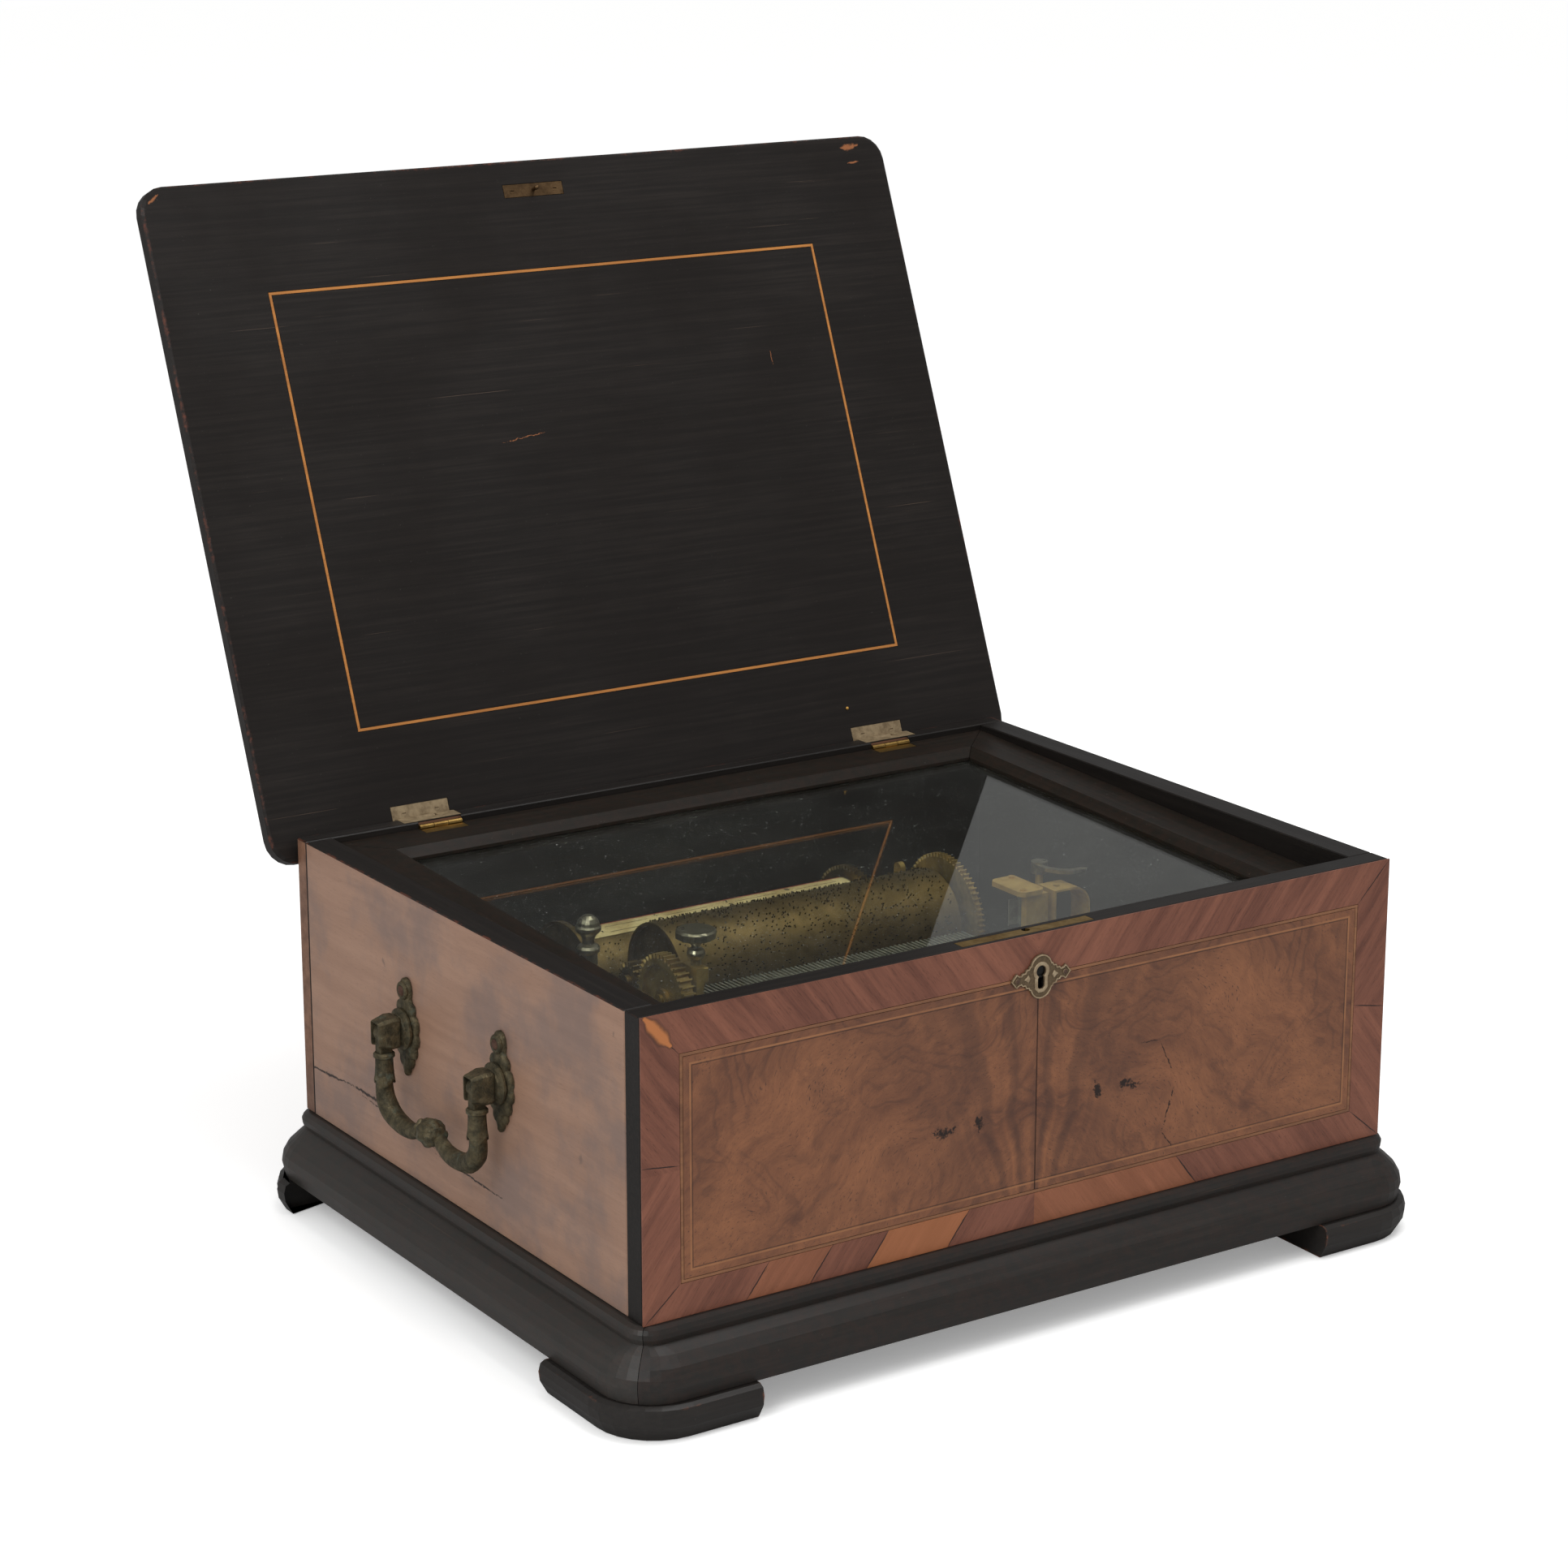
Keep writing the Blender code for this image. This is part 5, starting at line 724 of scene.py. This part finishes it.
def circle(steps):
    return [tau * i / steps for i in range(steps)]


def spinBody(bm, axis, centre, profile, steps, lobes=0, depth=0, closed=False):
    rings = []
    for along, radius in profile:
        ring = []
        for angle in circle(steps):
            reach = radius * (1 + depth * cos(lobes * angle + along * 260))
            u, v = reach * cos(angle), reach * sin(angle)
            ring.append(centre + Vector({"X": (along, u, v), "Y": (v, along, u), "Z": (u, v, along)}[axis]))
        rings.append(ring)
    stackRings(bm, rings, closed)


def inward(points, distance):
    moved = []
    count = len(points)
    for i in range(count):
        before = Vector(points[i]) - Vector(points[i - 1])
        after = Vector(points[(i + 1) % count]) - Vector(points[i])
        normal = before.normalized() + after.normalized()
        normal = Vector((-normal.y, normal.x)).normalized()
        moved.append(tuple(Vector(points[i]) + normal * distance))
    return moved


# Rows of lengths in millimetres, in metres.
def inMetres(rows):
    return [tuple(value / 1000 for value in row) for row in rows]


def mirroredHalf(half):
    return half + [(-u, v) for u, v in reversed(half) if abs(u) > 0.00001]


# A piece made on the left side is mirrored for the right.
def bothSides(name, makeBody, material, bodies, replaced):
    for side, body, nodeNames in zip(("Left", "Right"), bodies, replaced):
        bm = bmesh.new()
        makeBody(bm)
        if side == "Right":
            bmesh.ops.transform(bm, matrix=Matrix.Scale(-1, 4, (1, 0, 0)), verts=bm.verts[:])
        bmesh.ops.translate(bm, verts=bm.verts[:], vec=caseOrigin)
        piece = newPiece(name + side, bm, material, True)
        piece.data.set_sharp_from_angle(angle=radians(34))
        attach(piece, body)
        if nodeNames:
            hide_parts(*nodeNames)


# The cast handles: leaf plates, square bosses with a pocket, and the bail that hangs in them.
handle = {"centreY": 0.005, "centreZ": 0.09, "halfSpacing": 0.053, "wall": -0.2503, "pivot": -0.266,
        "slotHalf": 0.0038, "slotTop": 0.0065, "corner": 0.0017, "ringProud": 0.003,
        "pocket": ((-0.2569, 0.86), (-0.2578, 0.92), (-0.2593, 1)),
        "hingePin": inMetres(((-4.5, 1.4), (-4.4, 1.6), (4.4, 1.6), (4.5, 1.4))),
        "screw": inMetres(((-3, 3.1), (-4.2, 3), (-5, 2.2), (-5.4, 1))),
        "eye": inMetres(((-3.3, 1.8), (-3.3, 4.4), (-2.9, 5), (2.9, 5), (3.3, 4.4), (3.3, 1.8))),
        "neck": ((-1, -0.8), (-0.8, -1), (0.8, -1), (1, -0.8), (1, 0.8), (0.8, 1), (-0.8, 1), (-1, 0.8)),
        "neckHalf": (0.004, 0.0031), "neckEnds": (-0.0028, -0.0116),
        "leaf": inMetres(((0, 29.5), (3, 28.6), (5.2, 25.5), (5.8, 21.5), (5, 17.5), (6.2, 15.6), (8.6, 14.4),
            (9.6, 11.8), (8.8, 9.2), (11.2, 8), (13, 5), (13.2, 1.5), (12, -1.5), (13.4, -4.5), (12.6, -8),
            (10.2, -10), (10.8, -13), (9.2, -16.2), (6.8, -17.2), (6.9, -20.2), (5, -22.8), (3.2, -23.6),
            (2.2, -26.4), (0, -28.5))), "rises": inMetres(((0, 0), (1.2, 0), (2.4, 0.7), (3, 1.6),
            (3.4, 2.6))), "collar": inMetres(((0, 8), (-3.2, 11), (-4.2, 11.9), (-5.4, 11.9), (-6.3, 10.6),
            (-6.8, 9.2), (-7.8, 8.8))), "block": inMetres(((-259.2, 6.6, 8.9), (-263.5, 6.7, 9.1),
            (-269, 5.6, 7.8), (-271, 5.1, 7.2), (-271.5, 4.6, 6.7))), "ringUp": 0.0222, "ringRadius": 0.004,
        "ringWire": 0.0015, "path": inMetres(((53, 26.5, 4.7), (53.2, 33.5, 5.1), (50.5, 40.5, 5.6),
            (43.2, 46.1, 5.6), (31.8, 48.6, 5.2), (20.5, 48, 4.6), (11.5, 44.6, 4), (0, 42.5, 3.8))),
        "knop": inMetres(((-11, 3), (-10.4, 5), (-8.8, 5.7), (-7.2, 4.8), (-6, 6), (-3.4, 7.5), (0, 8),
            (3.4, 7.5), (6, 6), (7.2, 4.8), (8.8, 5.7), (10.4, 5), (11, 3))),
        "sleeve": ((-0.011, 0.0036, 0), (-0.0112, 0.0052, 0), (-0.0122, 0.0061, 0), (-0.0138, 0.0061, 0),
            (-0.0148, 0.005, 0), (-0.019, 0.0051, 0), (-0.0235, 0.0056, 0.4), (-0.0262, 0.0062, 1),
            (-0.0266, 0.0054, 1), (-0.025, 0.0042, 0.7)), "leafTip": 0.0042}


def cutSide(start, wide, tall, cut):
    return [(start, -tall), (wide - cut, -tall), (wide, cut - tall), (wide, tall - cut), (wide - cut, tall)]


def makePlate(bm, middle, settings):
    outline = mirroredHalf(settings["leaf"])
    wall, corner = settings["wall"], settings["corner"]
    slot, top = settings["slotHalf"], settings["slotTop"]

    def across(x, ring, shrink=1):
        return [Vector((x, middle + u * shrink, settings["centreZ"] + v * shrink)) for u, v in ring]

    stackRings(bm, [across(wall - rise, inward(outline, -inset) if inset else outline)
                for rise, inset in settings["rises"]])
    hub = Vector((wall, middle, settings["centreZ"]))
    spinBody(bm, "X", hub, settings["collar"], 40)
    wire = settings["ringWire"]
    loop = [(-settings["ringProud"] - wire * sin(angle), settings["ringRadius"] + wire * cos(angle))
            for angle in circle(10)]
    spinBody(bm, "X", hub + Vector((0, 0, settings["ringUp"])), loop, 28, closed=True)
    rings = []
    for x, wide, tall in settings["block"]:
        half = cutSide(slot, wide, tall, min(corner, wide - slot - 0.0001))
        rings.append(across(x, mirroredHalf(half) + [(-slot, top), (slot, top)]))
    stackRings(bm, rings)
    wide, tall = settings["block"][0][1:]
    pocket = mirroredHalf([(0, -tall)] + cutSide(0, wide, tall, corner)[1:] + [(0, tall)])
    stackRings(bm, [across(x, pocket, shrink) for x, shrink in settings["pocket"]])
    spinBody(bm, "Y", Vector((settings["pivot"], middle, settings["centreZ"])), settings["hingePin"], 14)


def makePlates(bm):
    for side in (-1, 1):
        makePlate(bm, handle["centreY"] + side * handle["halfSpacing"], handle)


def makeBail(bm):
    settings = handle
    keys = [Vector(point) for point in settings["path"]]
    keys += [Vector((-key.x, key.y, key.z)) for key in reversed(keys[:-1])]
    samples = []
    for i in range(len(keys) - 1):
        around = [keys[max(0, min(len(keys) - 1, i + shift))] for shift in (-1, 0, 1, 2)]
        for step in range(6):
            share = step / 6
            a = around[1] * 2
            b = (around[2] - around[0]) * share
            c = (around[0] * 2 - around[1] * 5 + around[2] * 4 - around[3]) * share ** 2
            d = (around[1] * 3 - around[0] - around[2] * 3 + around[3]) * share ** 3
            samples.append((a + b + c + d) * 0.5)
    samples.append(keys[-1])
    rings = []
    centre = Vector((settings["pivot"], settings["centreY"], settings["centreZ"]))
    for i, sample in enumerate(samples):
        before, after = samples[max(0, i - 1)], samples[min(len(samples) - 1, i + 1)]
        along = Vector((0, after.x - before.x, before.y - after.y)).normalized()
        across = along.cross(Vector((1, 0, 0)))
        ring = []
        for angle in circle(20):
            reach = sample.z * (1 + 0.035 * cos(5 * angle + i * 0.12))
            ring.append(centre + Vector((cos(angle) * reach, sample.x, -sample.y))
                    + across * (sin(angle) * reach))
        rings.append(ring)
    stackRings(bm, rings)
    drop = Vector((0, 0, -settings["path"][-1][1]))
    spinBody(bm, "Y", centre + drop, settings["knop"], 48, 7, 0.075)
    for side in (-1, 1):
        top = centre + Vector((0, side * settings["halfSpacing"], 0))
        rings = []
        for height, radius, leafed in settings["sleeve"]:
            ring = []
            for angle in circle(36):
                tip = settings["leafTip"] * leafed * abs(cos(1.5 * angle)) ** 1.6
                flare = radius * (1 + 0.05 * leafed * cos(6 * angle))
                ring.append(top + Vector((flare * cos(angle), flare * sin(angle), height - tip)))
            rings.append(ring)
        stackRings(bm, rings)
        spinBody(bm, "Y", top, settings["eye"], 28, closed=True)
        wide, deep = settings["neckHalf"]
        stackRings(bm, [[top + Vector((u * wide, v * deep, z)) for u, v in settings["neck"]]
                    for z in settings["neckEnds"]])


def makeHandleScrews(bm):
    for side in (-1, 1):
        middle = handle["centreY"] + side * handle["halfSpacing"]
        centre = Vector((handle["wall"], middle, handle["centreZ"] + handle["ringUp"]))
        spinBody(bm, "X", centre, handle["screw"], 20)


handleFinish = bronzeMaterial("castBronze", handleBronze)
bothSides("handlePlates", makePlates, handleFinish, ("case", "case"),
        (("handle_plate_left_front", "handle_plate_left_back"),
            ("handle_plate_right_front", "handle_plate_right_back")))
bothSides("bail", makeBail, handleFinish, ("bail_left", "bail_right"), (("bail_left",), ("bail_right",)))
rustySteel = {"bright": shade(112, 84, 68), "dull": shade(70, 46, 36), "tarnish": 0.6, "polish": 0.5,
        "metallic": 0.5}
bothSides("handleScrews", makeHandleScrews, metalMaterial("rustySteel", rustySteel), ("case", "case"),
        (None, None))
print("stage: handles")

# The escutcheon: a raised rim, a sunk field, a raised keyhole surround, two leaves and two pins.
escutcheon = {"x": 0.001, "z": 0.1433, "face": -0.19095,
        "quarter": inMetres(((20, 0), (18.2, 2.4), (16.4, 4.2), (14.8, 3), (13.4, 2.7), (12.6, 3.8),
            (10.8, 3.8), (10.2, 5.4), (8.4, 5.6), (7.8, 7))), "lobe": (0.0052, 0.0073), "keyUp": 0.003,
        "keyRadius": 0.0031, "keySlotHalf": 0.0021, "keyFoot": -0.0098,
        "leaf": inMetres(((7.2, 0), (8.6, 2.4), (9.9, 1.1), (11.6, 0), (9.9, -1.1), (8.6, -2.4))),
        "leafMiddle": 0.0092, "rimSteps": inMetres(((0, 0), (0, 0.7), (0.3, 1.2), (0.8, 1.2), (1.1, 0.7))),
        "holeSteps": inMetres(((-2.4, 0.7), (-2, 1.3), (-0.4, 1.2), (0, 0.8), (0, 0))), "pinX": 0.016,
        "pinProfile": inMetres(((0.2, 1.4), (-0.8, 1.4), (-1.2, 0.9), (-1.3, 0.4))),
        "field": shade(112, 94, 70), "deep": shade(62, 48, 36), "pin": shade(88, 68, 56),
        "bright": shade(190, 172, 142), "dull": shade(136, 114, 88), "tarnish": 0.4, "polish": 0.36,
        "grit": 240}


def escutcheonOutline(settings):
    middle, radius = settings["lobe"]
    first = list(settings["quarter"])
    for i in range(9):
        angle = radians(14 + 76 * i / 8)
        first.append((radius * cos(angle), middle + radius * sin(angle)))
    upper = first + [(-u, v) for u, v in reversed(first[:-1])]
    return upper + [(-u, -v) for u, v in upper[1:-1]]


def keyholeOutline(settings):
    points = []
    for i in range(17):
        angle = radians(-62 + 304 * i / 16)
        points.append((settings["keyRadius"] * cos(angle), settings["keyRadius"] * sin(angle)))
    half, foot = settings["keySlotHalf"], settings["keyFoot"]
    points += [(-half, -0.004), (-half, foot + 0.001), (-half * 0.5, foot), (half * 0.5, foot),
            (half, foot + 0.001), (half, -0.004)]
    return [(u, v + settings["keyUp"]) for u, v in points]


def makeEscutcheon(settings):
    bm = bmesh.new()

    def spots(points, out):
        return [(settings["x"] + u, settings["face"] - out, settings["z"] + v) for u, v in points]

    def level(points, out):
        return [bm.verts.new(spot) for spot in spots(points, out)]

    def fill(outer, inner):
        edges = []
        for loop in (outer, inner):
            for i in range(len(loop)):
                pair = (loop[i], loop[(i + 1) % len(loop)])
                edges.append(bm.edges.get(pair) or bm.edges.new(pair))
        bmesh.ops.triangle_fill(bm, use_beauty=True, use_dissolve=False, edges=edges)

    outline = escutcheonOutline(settings)
    hole = keyholeOutline(settings)
    outer = [level(inward(outline, inset), out) for inset, out in settings["rimSteps"]]
    inner = [level(inward(hole, inset), out) for inset, out in settings["holeSteps"]]
    for loops in (outer, inner):
        for first, second in zip(loops, loops[1:]):
            joinLoops(bm, first, second)
    fill(outer[-1], inner[0])
    fill(outer[0], inner[-1])
    for side in (-1, 1):
        leaf = [(side * u, v) for u, v in settings["leaf"]]
        small = [(u + (side * settings["leafMiddle"] - u) * 0.3, v * 0.7) for u, v in leaf]
        stackRings(bm, [spots(leaf, 0.0005), spots(leaf, 0.0009), spots(small, 0.0013)])
        centre = Vector((settings["x"] + side * settings["pinX"], settings["face"] - 0.0006, settings["z"]))
        spinBody(bm, "Y", centre, settings["pinProfile"], 16)
    bmesh.ops.translate(bm, verts=bm.verts[:], vec=caseOrigin)
    material, place = newMaterial("wornPewter")
    metal = grouped("agedMetal", place, settings)
    carve = noise(place, 950, 3, 0.6, 1.5)
    rise = minus(caseOrigin.y + settings["face"], parted(place)[1])
    field = blended(ranged(carve, 0.36, 0.56, 0.5, 0), settings["field"], settings["deep"])
    colour = blended(ranged(rise, 0.00085, 0.00115), field, metal["Color"])
    finish(material, blended(ranged(rise, 0.00135, 0.0015), colour, settings["pin"]), metal["Roughness"],
            carve, 0.0003, metallic=0.5)
    piece = newPiece("escutcheonPlate", bm, material, True)
    piece.data.set_sharp_from_angle(angle=radians(30))
    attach(piece, "case")
    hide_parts("escutcheon")


makeEscutcheon(escutcheon)

# The gilt nail in the lid, by its right hinge.
lidNail = {"shutPlace": Vector((0.1462, 0.1001, lidUnder)), "radius": 0.001, "bright": shade(226, 176, 88),
        "dull": shade(150, 108, 52), "tarnish": 0.1, "polish": 0.3, "metallic": 0.6}


def makeLidNail(settings):
    bm = bmesh.new()
    radius = settings["radius"]
    profile = ((0.0004, radius), (-0.0002, radius), (-0.0005, radius * 0.7), (-0.0006, radius * 0.3))
    spinBody(bm, "Z", settings["shutPlace"] - Vector((0, 0, 0.0005)), profile, 16)
    opened = Matrix.Translation(lidAxis) @ Matrix.Rotation(-lidOpen, 4, "X") @ Matrix.Translation(-lidAxis)
    bmesh.ops.transform(bm, matrix=opened, verts=bm.verts[:])
    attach(newPiece("lidNail", bm, metalMaterial("giltNail", settings), True), "lid")


makeLidNail(lidNail)
print("stage: escutcheon and nail")

# A smooth skin over each cylinder, and the small pins that pluck the comb.
musicPins = {"radius": 0.031, "skin": 0.00006, "steps": 144, "pinRadius": 0.00038, "pinHeight": 0.00105,
        "rows": 64, "pitch": 0.00305, "first": -0.0961, "playing": (-0.099, 0.096), "spare": (-0.108, 0.0927),
        "count": 2600, "stripFrom": -20, "stripTo": 27}


def makeSkin(name, centre, body, settings):
    bm = bmesh.new()
    ends = settings[name]
    outer = settings["radius"] + settings["skin"]
    inner = settings["radius"] - 0.0004
    profile = [bm.verts.new((ends[0] + 0.0002, 0, inner)), bm.verts.new((ends[0] + 0.0002, 0, outer)),
            bm.verts.new((ends[1] - 0.0002, 0, outer)), bm.verts.new((ends[1] - 0.0002, 0, inner))]
    edges = [bm.edges.new((profile[i], profile[(i + 1) % 4])) for i in range(4)]
    bmesh.ops.spin(bm, geom=profile + edges, cent=(0, 0, 0), axis=(1, 0, 0), angle=tau,
            steps=settings["steps"], use_merge=True)
    bmesh.ops.translate(bm, verts=bm.verts[:], vec=centre)
    piece = newPiece(name + "Skin", bm, cylinderFinish, True)
    piece.data.set_sharp_from_angle(angle=radians(40))
    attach(piece, body)


# An even-looking spread between 0 and 1 that is the same each time.
def scattered(index, kind):
    value = sin(index * 12.9898 + kind * 78.233) * 43758.5453
    return value - floor(value)


def makePins(name, centre, body, settings):
    bm = bmesh.new()
    ends = settings[name]
    radius, height = settings["pinRadius"], settings["pinHeight"]
    for index in range(1, settings["count"] + 1):
        turn = scattered(index, 1) * 360
        fromTop = turn - 360 if turn > 180 else turn
        place = int(scattered(index, 2) * settings["rows"]) + int(scattered(index, 3) * 6) / 6
        x = settings["first"] + place * settings["pitch"]
        hidden = name == "spare" and settings["stripFrom"] < fromTop < settings["stripTo"]
        if hidden or x < ends[0] + 0.002 or x > ends[1] - 0.002:
            continue
        spot = Matrix.Translation(centre + Vector((x, 0, 0))) @ Matrix.Rotation(radians(turn), 4, "X")
        rings = []
        for lift, width in ((-0.0002, radius), (height * 0.8, radius), (height, radius * 0.7)):
            rings.append([spot @ Vector((width * cos(angle), width * sin(angle), settings["radius"] + lift))
                        for angle in circle(5)])
        stackRings(bm, rings)
    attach(newPiece(name + "Pins", bm, pinFinish), body)


# Dark steel pins, their dark partly painted shade for the small shadows they cast.
pinSteelAndShade = {"bright": shade(120, 100, 70), "dull": shade(44, 34, 22), "tarnish": 0.7, "polish": 0.4}
pinFinish = metalMaterial("pinSteelAndShade", pinSteelAndShade)
for name, centre, body, node in (("playing", cylinderCentre, "playing_cylinder", "cylinder"),
        ("spare", spareCentre, "case", "spare_cylinder")):
    makeSkin(name, centre, body, musicPins)
    makePins(name, centre, body, musicPins)
print("stage: skins and pins")

# Plain numbers and ruled lines on the tune strip, lying on its curve.
stripMarks = {"radius": 0.0317, "lift": 0.00004, "size": 0.0062, "bold": 0.00018, "ruleWidth": 0.00045,
        "angles": (-13, -0.5), "columns": (-0.09, -0.048, 0.002, 0.046), "ruleLength": 0.03,
        "ruleDrop": 0.0009, "ruleGap": 0.006, "ink": shade(40, 28, 22), "faded": shade(96, 70, 48)}


def inkMaterial(name, settings):
    material, place = newMaterial(name)
    faded = noise(place, 900, 4, 0.7)
    return finish(material, blended(ranged(faded, 0.45, 0.7), settings["ink"], settings["faded"]), 0.85,
            faded, 0.00002)


# Lays flat points on the curve of the strip: X along it, Y round it from the given angle.
def laid(settings, angle, point):
    turn = radians(angle) + point.y / settings["radius"]
    out = Vector((point.x, 0, settings["radius"] + settings["lift"] + point.z))
    return spareCentre + Matrix.Rotation(-turn, 3, "X") @ out


def numberMesh(number, settings):
    letters = bpy.data.curves.new("number", "FONT")
    letters.body = str(number)
    letters.size = settings["size"]
    letters.extrude = settings["lift"] * 0.5
    letters.offset = settings["bold"]
    holder = newObject("number", letters)
    bpy.context.view_layer.update()
    mesh = bpy.data.meshes.new_from_object(holder.evaluated_get(bpy.context.evaluated_depsgraph_get()))
    bpy.data.objects.remove(holder, do_unlink=True)
    return mesh


def makeStripMarks(settings):
    bm = bmesh.new()
    number = 0
    half = settings["lift"] * 0.5
    corners = ((-1, -1), (1, -1), (1, 1), (-1, 1))
    top, foot = -settings["ruleDrop"], -settings["ruleDrop"] - settings["ruleWidth"]
    middle = (top + foot) / 2
    for angle in settings["angles"]:
        for left in settings["columns"]:
            number += 1
            mesh = numberMesh(number, settings)
            for vert in mesh.vertices:
                vert.co = laid(settings, angle, vert.co + Vector((left, 0, 0)))
            bm.from_mesh(mesh)
            bpy.data.meshes.remove(mesh)
            rings = []
            for step in (0, 0.001, 0.5, 0.999, 1):
                thin = 0.4 if step in (0, 1) else 1
                x = left + settings["ruleGap"] + step * settings["ruleLength"]
                rings.append([laid(settings, angle, Vector((x, middle + across * (top - foot) / 2 * thin,
                            half * up * thin))) for across, up in corners])
            stackRings(bm, rings)
    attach(newPiece("stripNumbers", bm, inkMaterial("fadedInk", settings)), "case")


makeStripMarks(stripMarks)
print("stage: tune strip marks")

floorSettings = {"size": 9, "colour": (0.95, 0.95, 0.945, 1), "mirrored": (0.33, 0.33, 0.33, 1), "glow": 0.25,
        "height": -0.0005}


def makeFloor(settings):
    material, place = newMaterial("paleFloor")
    path = addNode("LightPath", {}, material.node_tree).outputs
    plugAll(material.node_tree.nodes["Principled BSDF"].inputs,
            {"Base Color": blended(path["Is Glossy Ray"], settings["colour"], settings["mirrored"]),
                "Roughness": 1, "Specular IOR Level": 0, "Emission Color": (1, 1, 1, 1),
                "Emission Strength": times(path["Is Camera Ray"], settings["glow"])})
    bm = bmesh.new()
    bmesh.ops.create_grid(bm, x_segments=1, y_segments=1, size=settings["size"])
    plane = newPiece("floor", bm, material)
    plane.location.z = settings["height"]


worldLight = {"plain": 0.78, "seen": 1, "mirrored": 0.25}


def makeWorld(settings):
    world = bpy.data.worlds.new("studio")
    bpy.context.scene.world = world
    world.use_nodes = True
    tree = world.node_tree
    path = addNode("LightPath", {}, tree).outputs
    bounced = times(path["Is Transmission Ray"], path["Glossy Depth"], clamp=True)
    through = minus(path["Is Transmission Ray"], bounced)
    seen = maths("MAXIMUM", path["Is Camera Ray"], through)
    glossy = maths("MAXIMUM", path["Is Glossy Ray"], bounced)
    strength = timesPlus(seen, settings["seen"] - settings["plain"], settings["plain"])
    strength = timesPlus(glossy, settings["mirrored"] - settings["plain"], strength)
    plugAll(tree.nodes["Background"].inputs, {"Strength": strength, "Color": (1, 1, 1, 1)})


def makeLamp(name, place, target, size, power):
    lamp = bpy.data.lights.new(name, "AREA")
    lamp.shape = "DISK"
    lamp.size = size
    lamp.energy = power
    item = newObject(name, lamp)
    item.location = place
    item.rotation_euler = (Vector(target) - Vector(place)).to_track_quat("-Z", "Y").to_euler()


photoCamera = {"lens": 88, "place": Vector((-1.19102529, -1.74234597, 0.8005376)), "tilt": 90 - 15.743,
        "turn": -33.506}


def makeCamera(settings):
    camera = bpy.data.cameras.new("camera")
    camera.sensor_width = 36
    camera.lens = settings["lens"]
    item = newObject("camera", camera)
    item.location = settings["place"] + caseOrigin
    item.rotation_euler = (radians(settings["tilt"]), 0, radians(settings["turn"]))
    bpy.context.scene.camera = item


makeFloor(floorSettings)
makeWorld(worldLight)
makeLamp("keyLamp", (-2.3, -1.2, 2.3), (0, 0, 0.2), 1.6, 34)
makeLamp("topLamp", (0.4, -0.6, 2.7), (0, 0, 0.2), 1.6, 26)
makeCamera(photoCamera)
bpy.context.scene.view_settings.view_transform = "Standard"
print("stage: floor, light and camera")
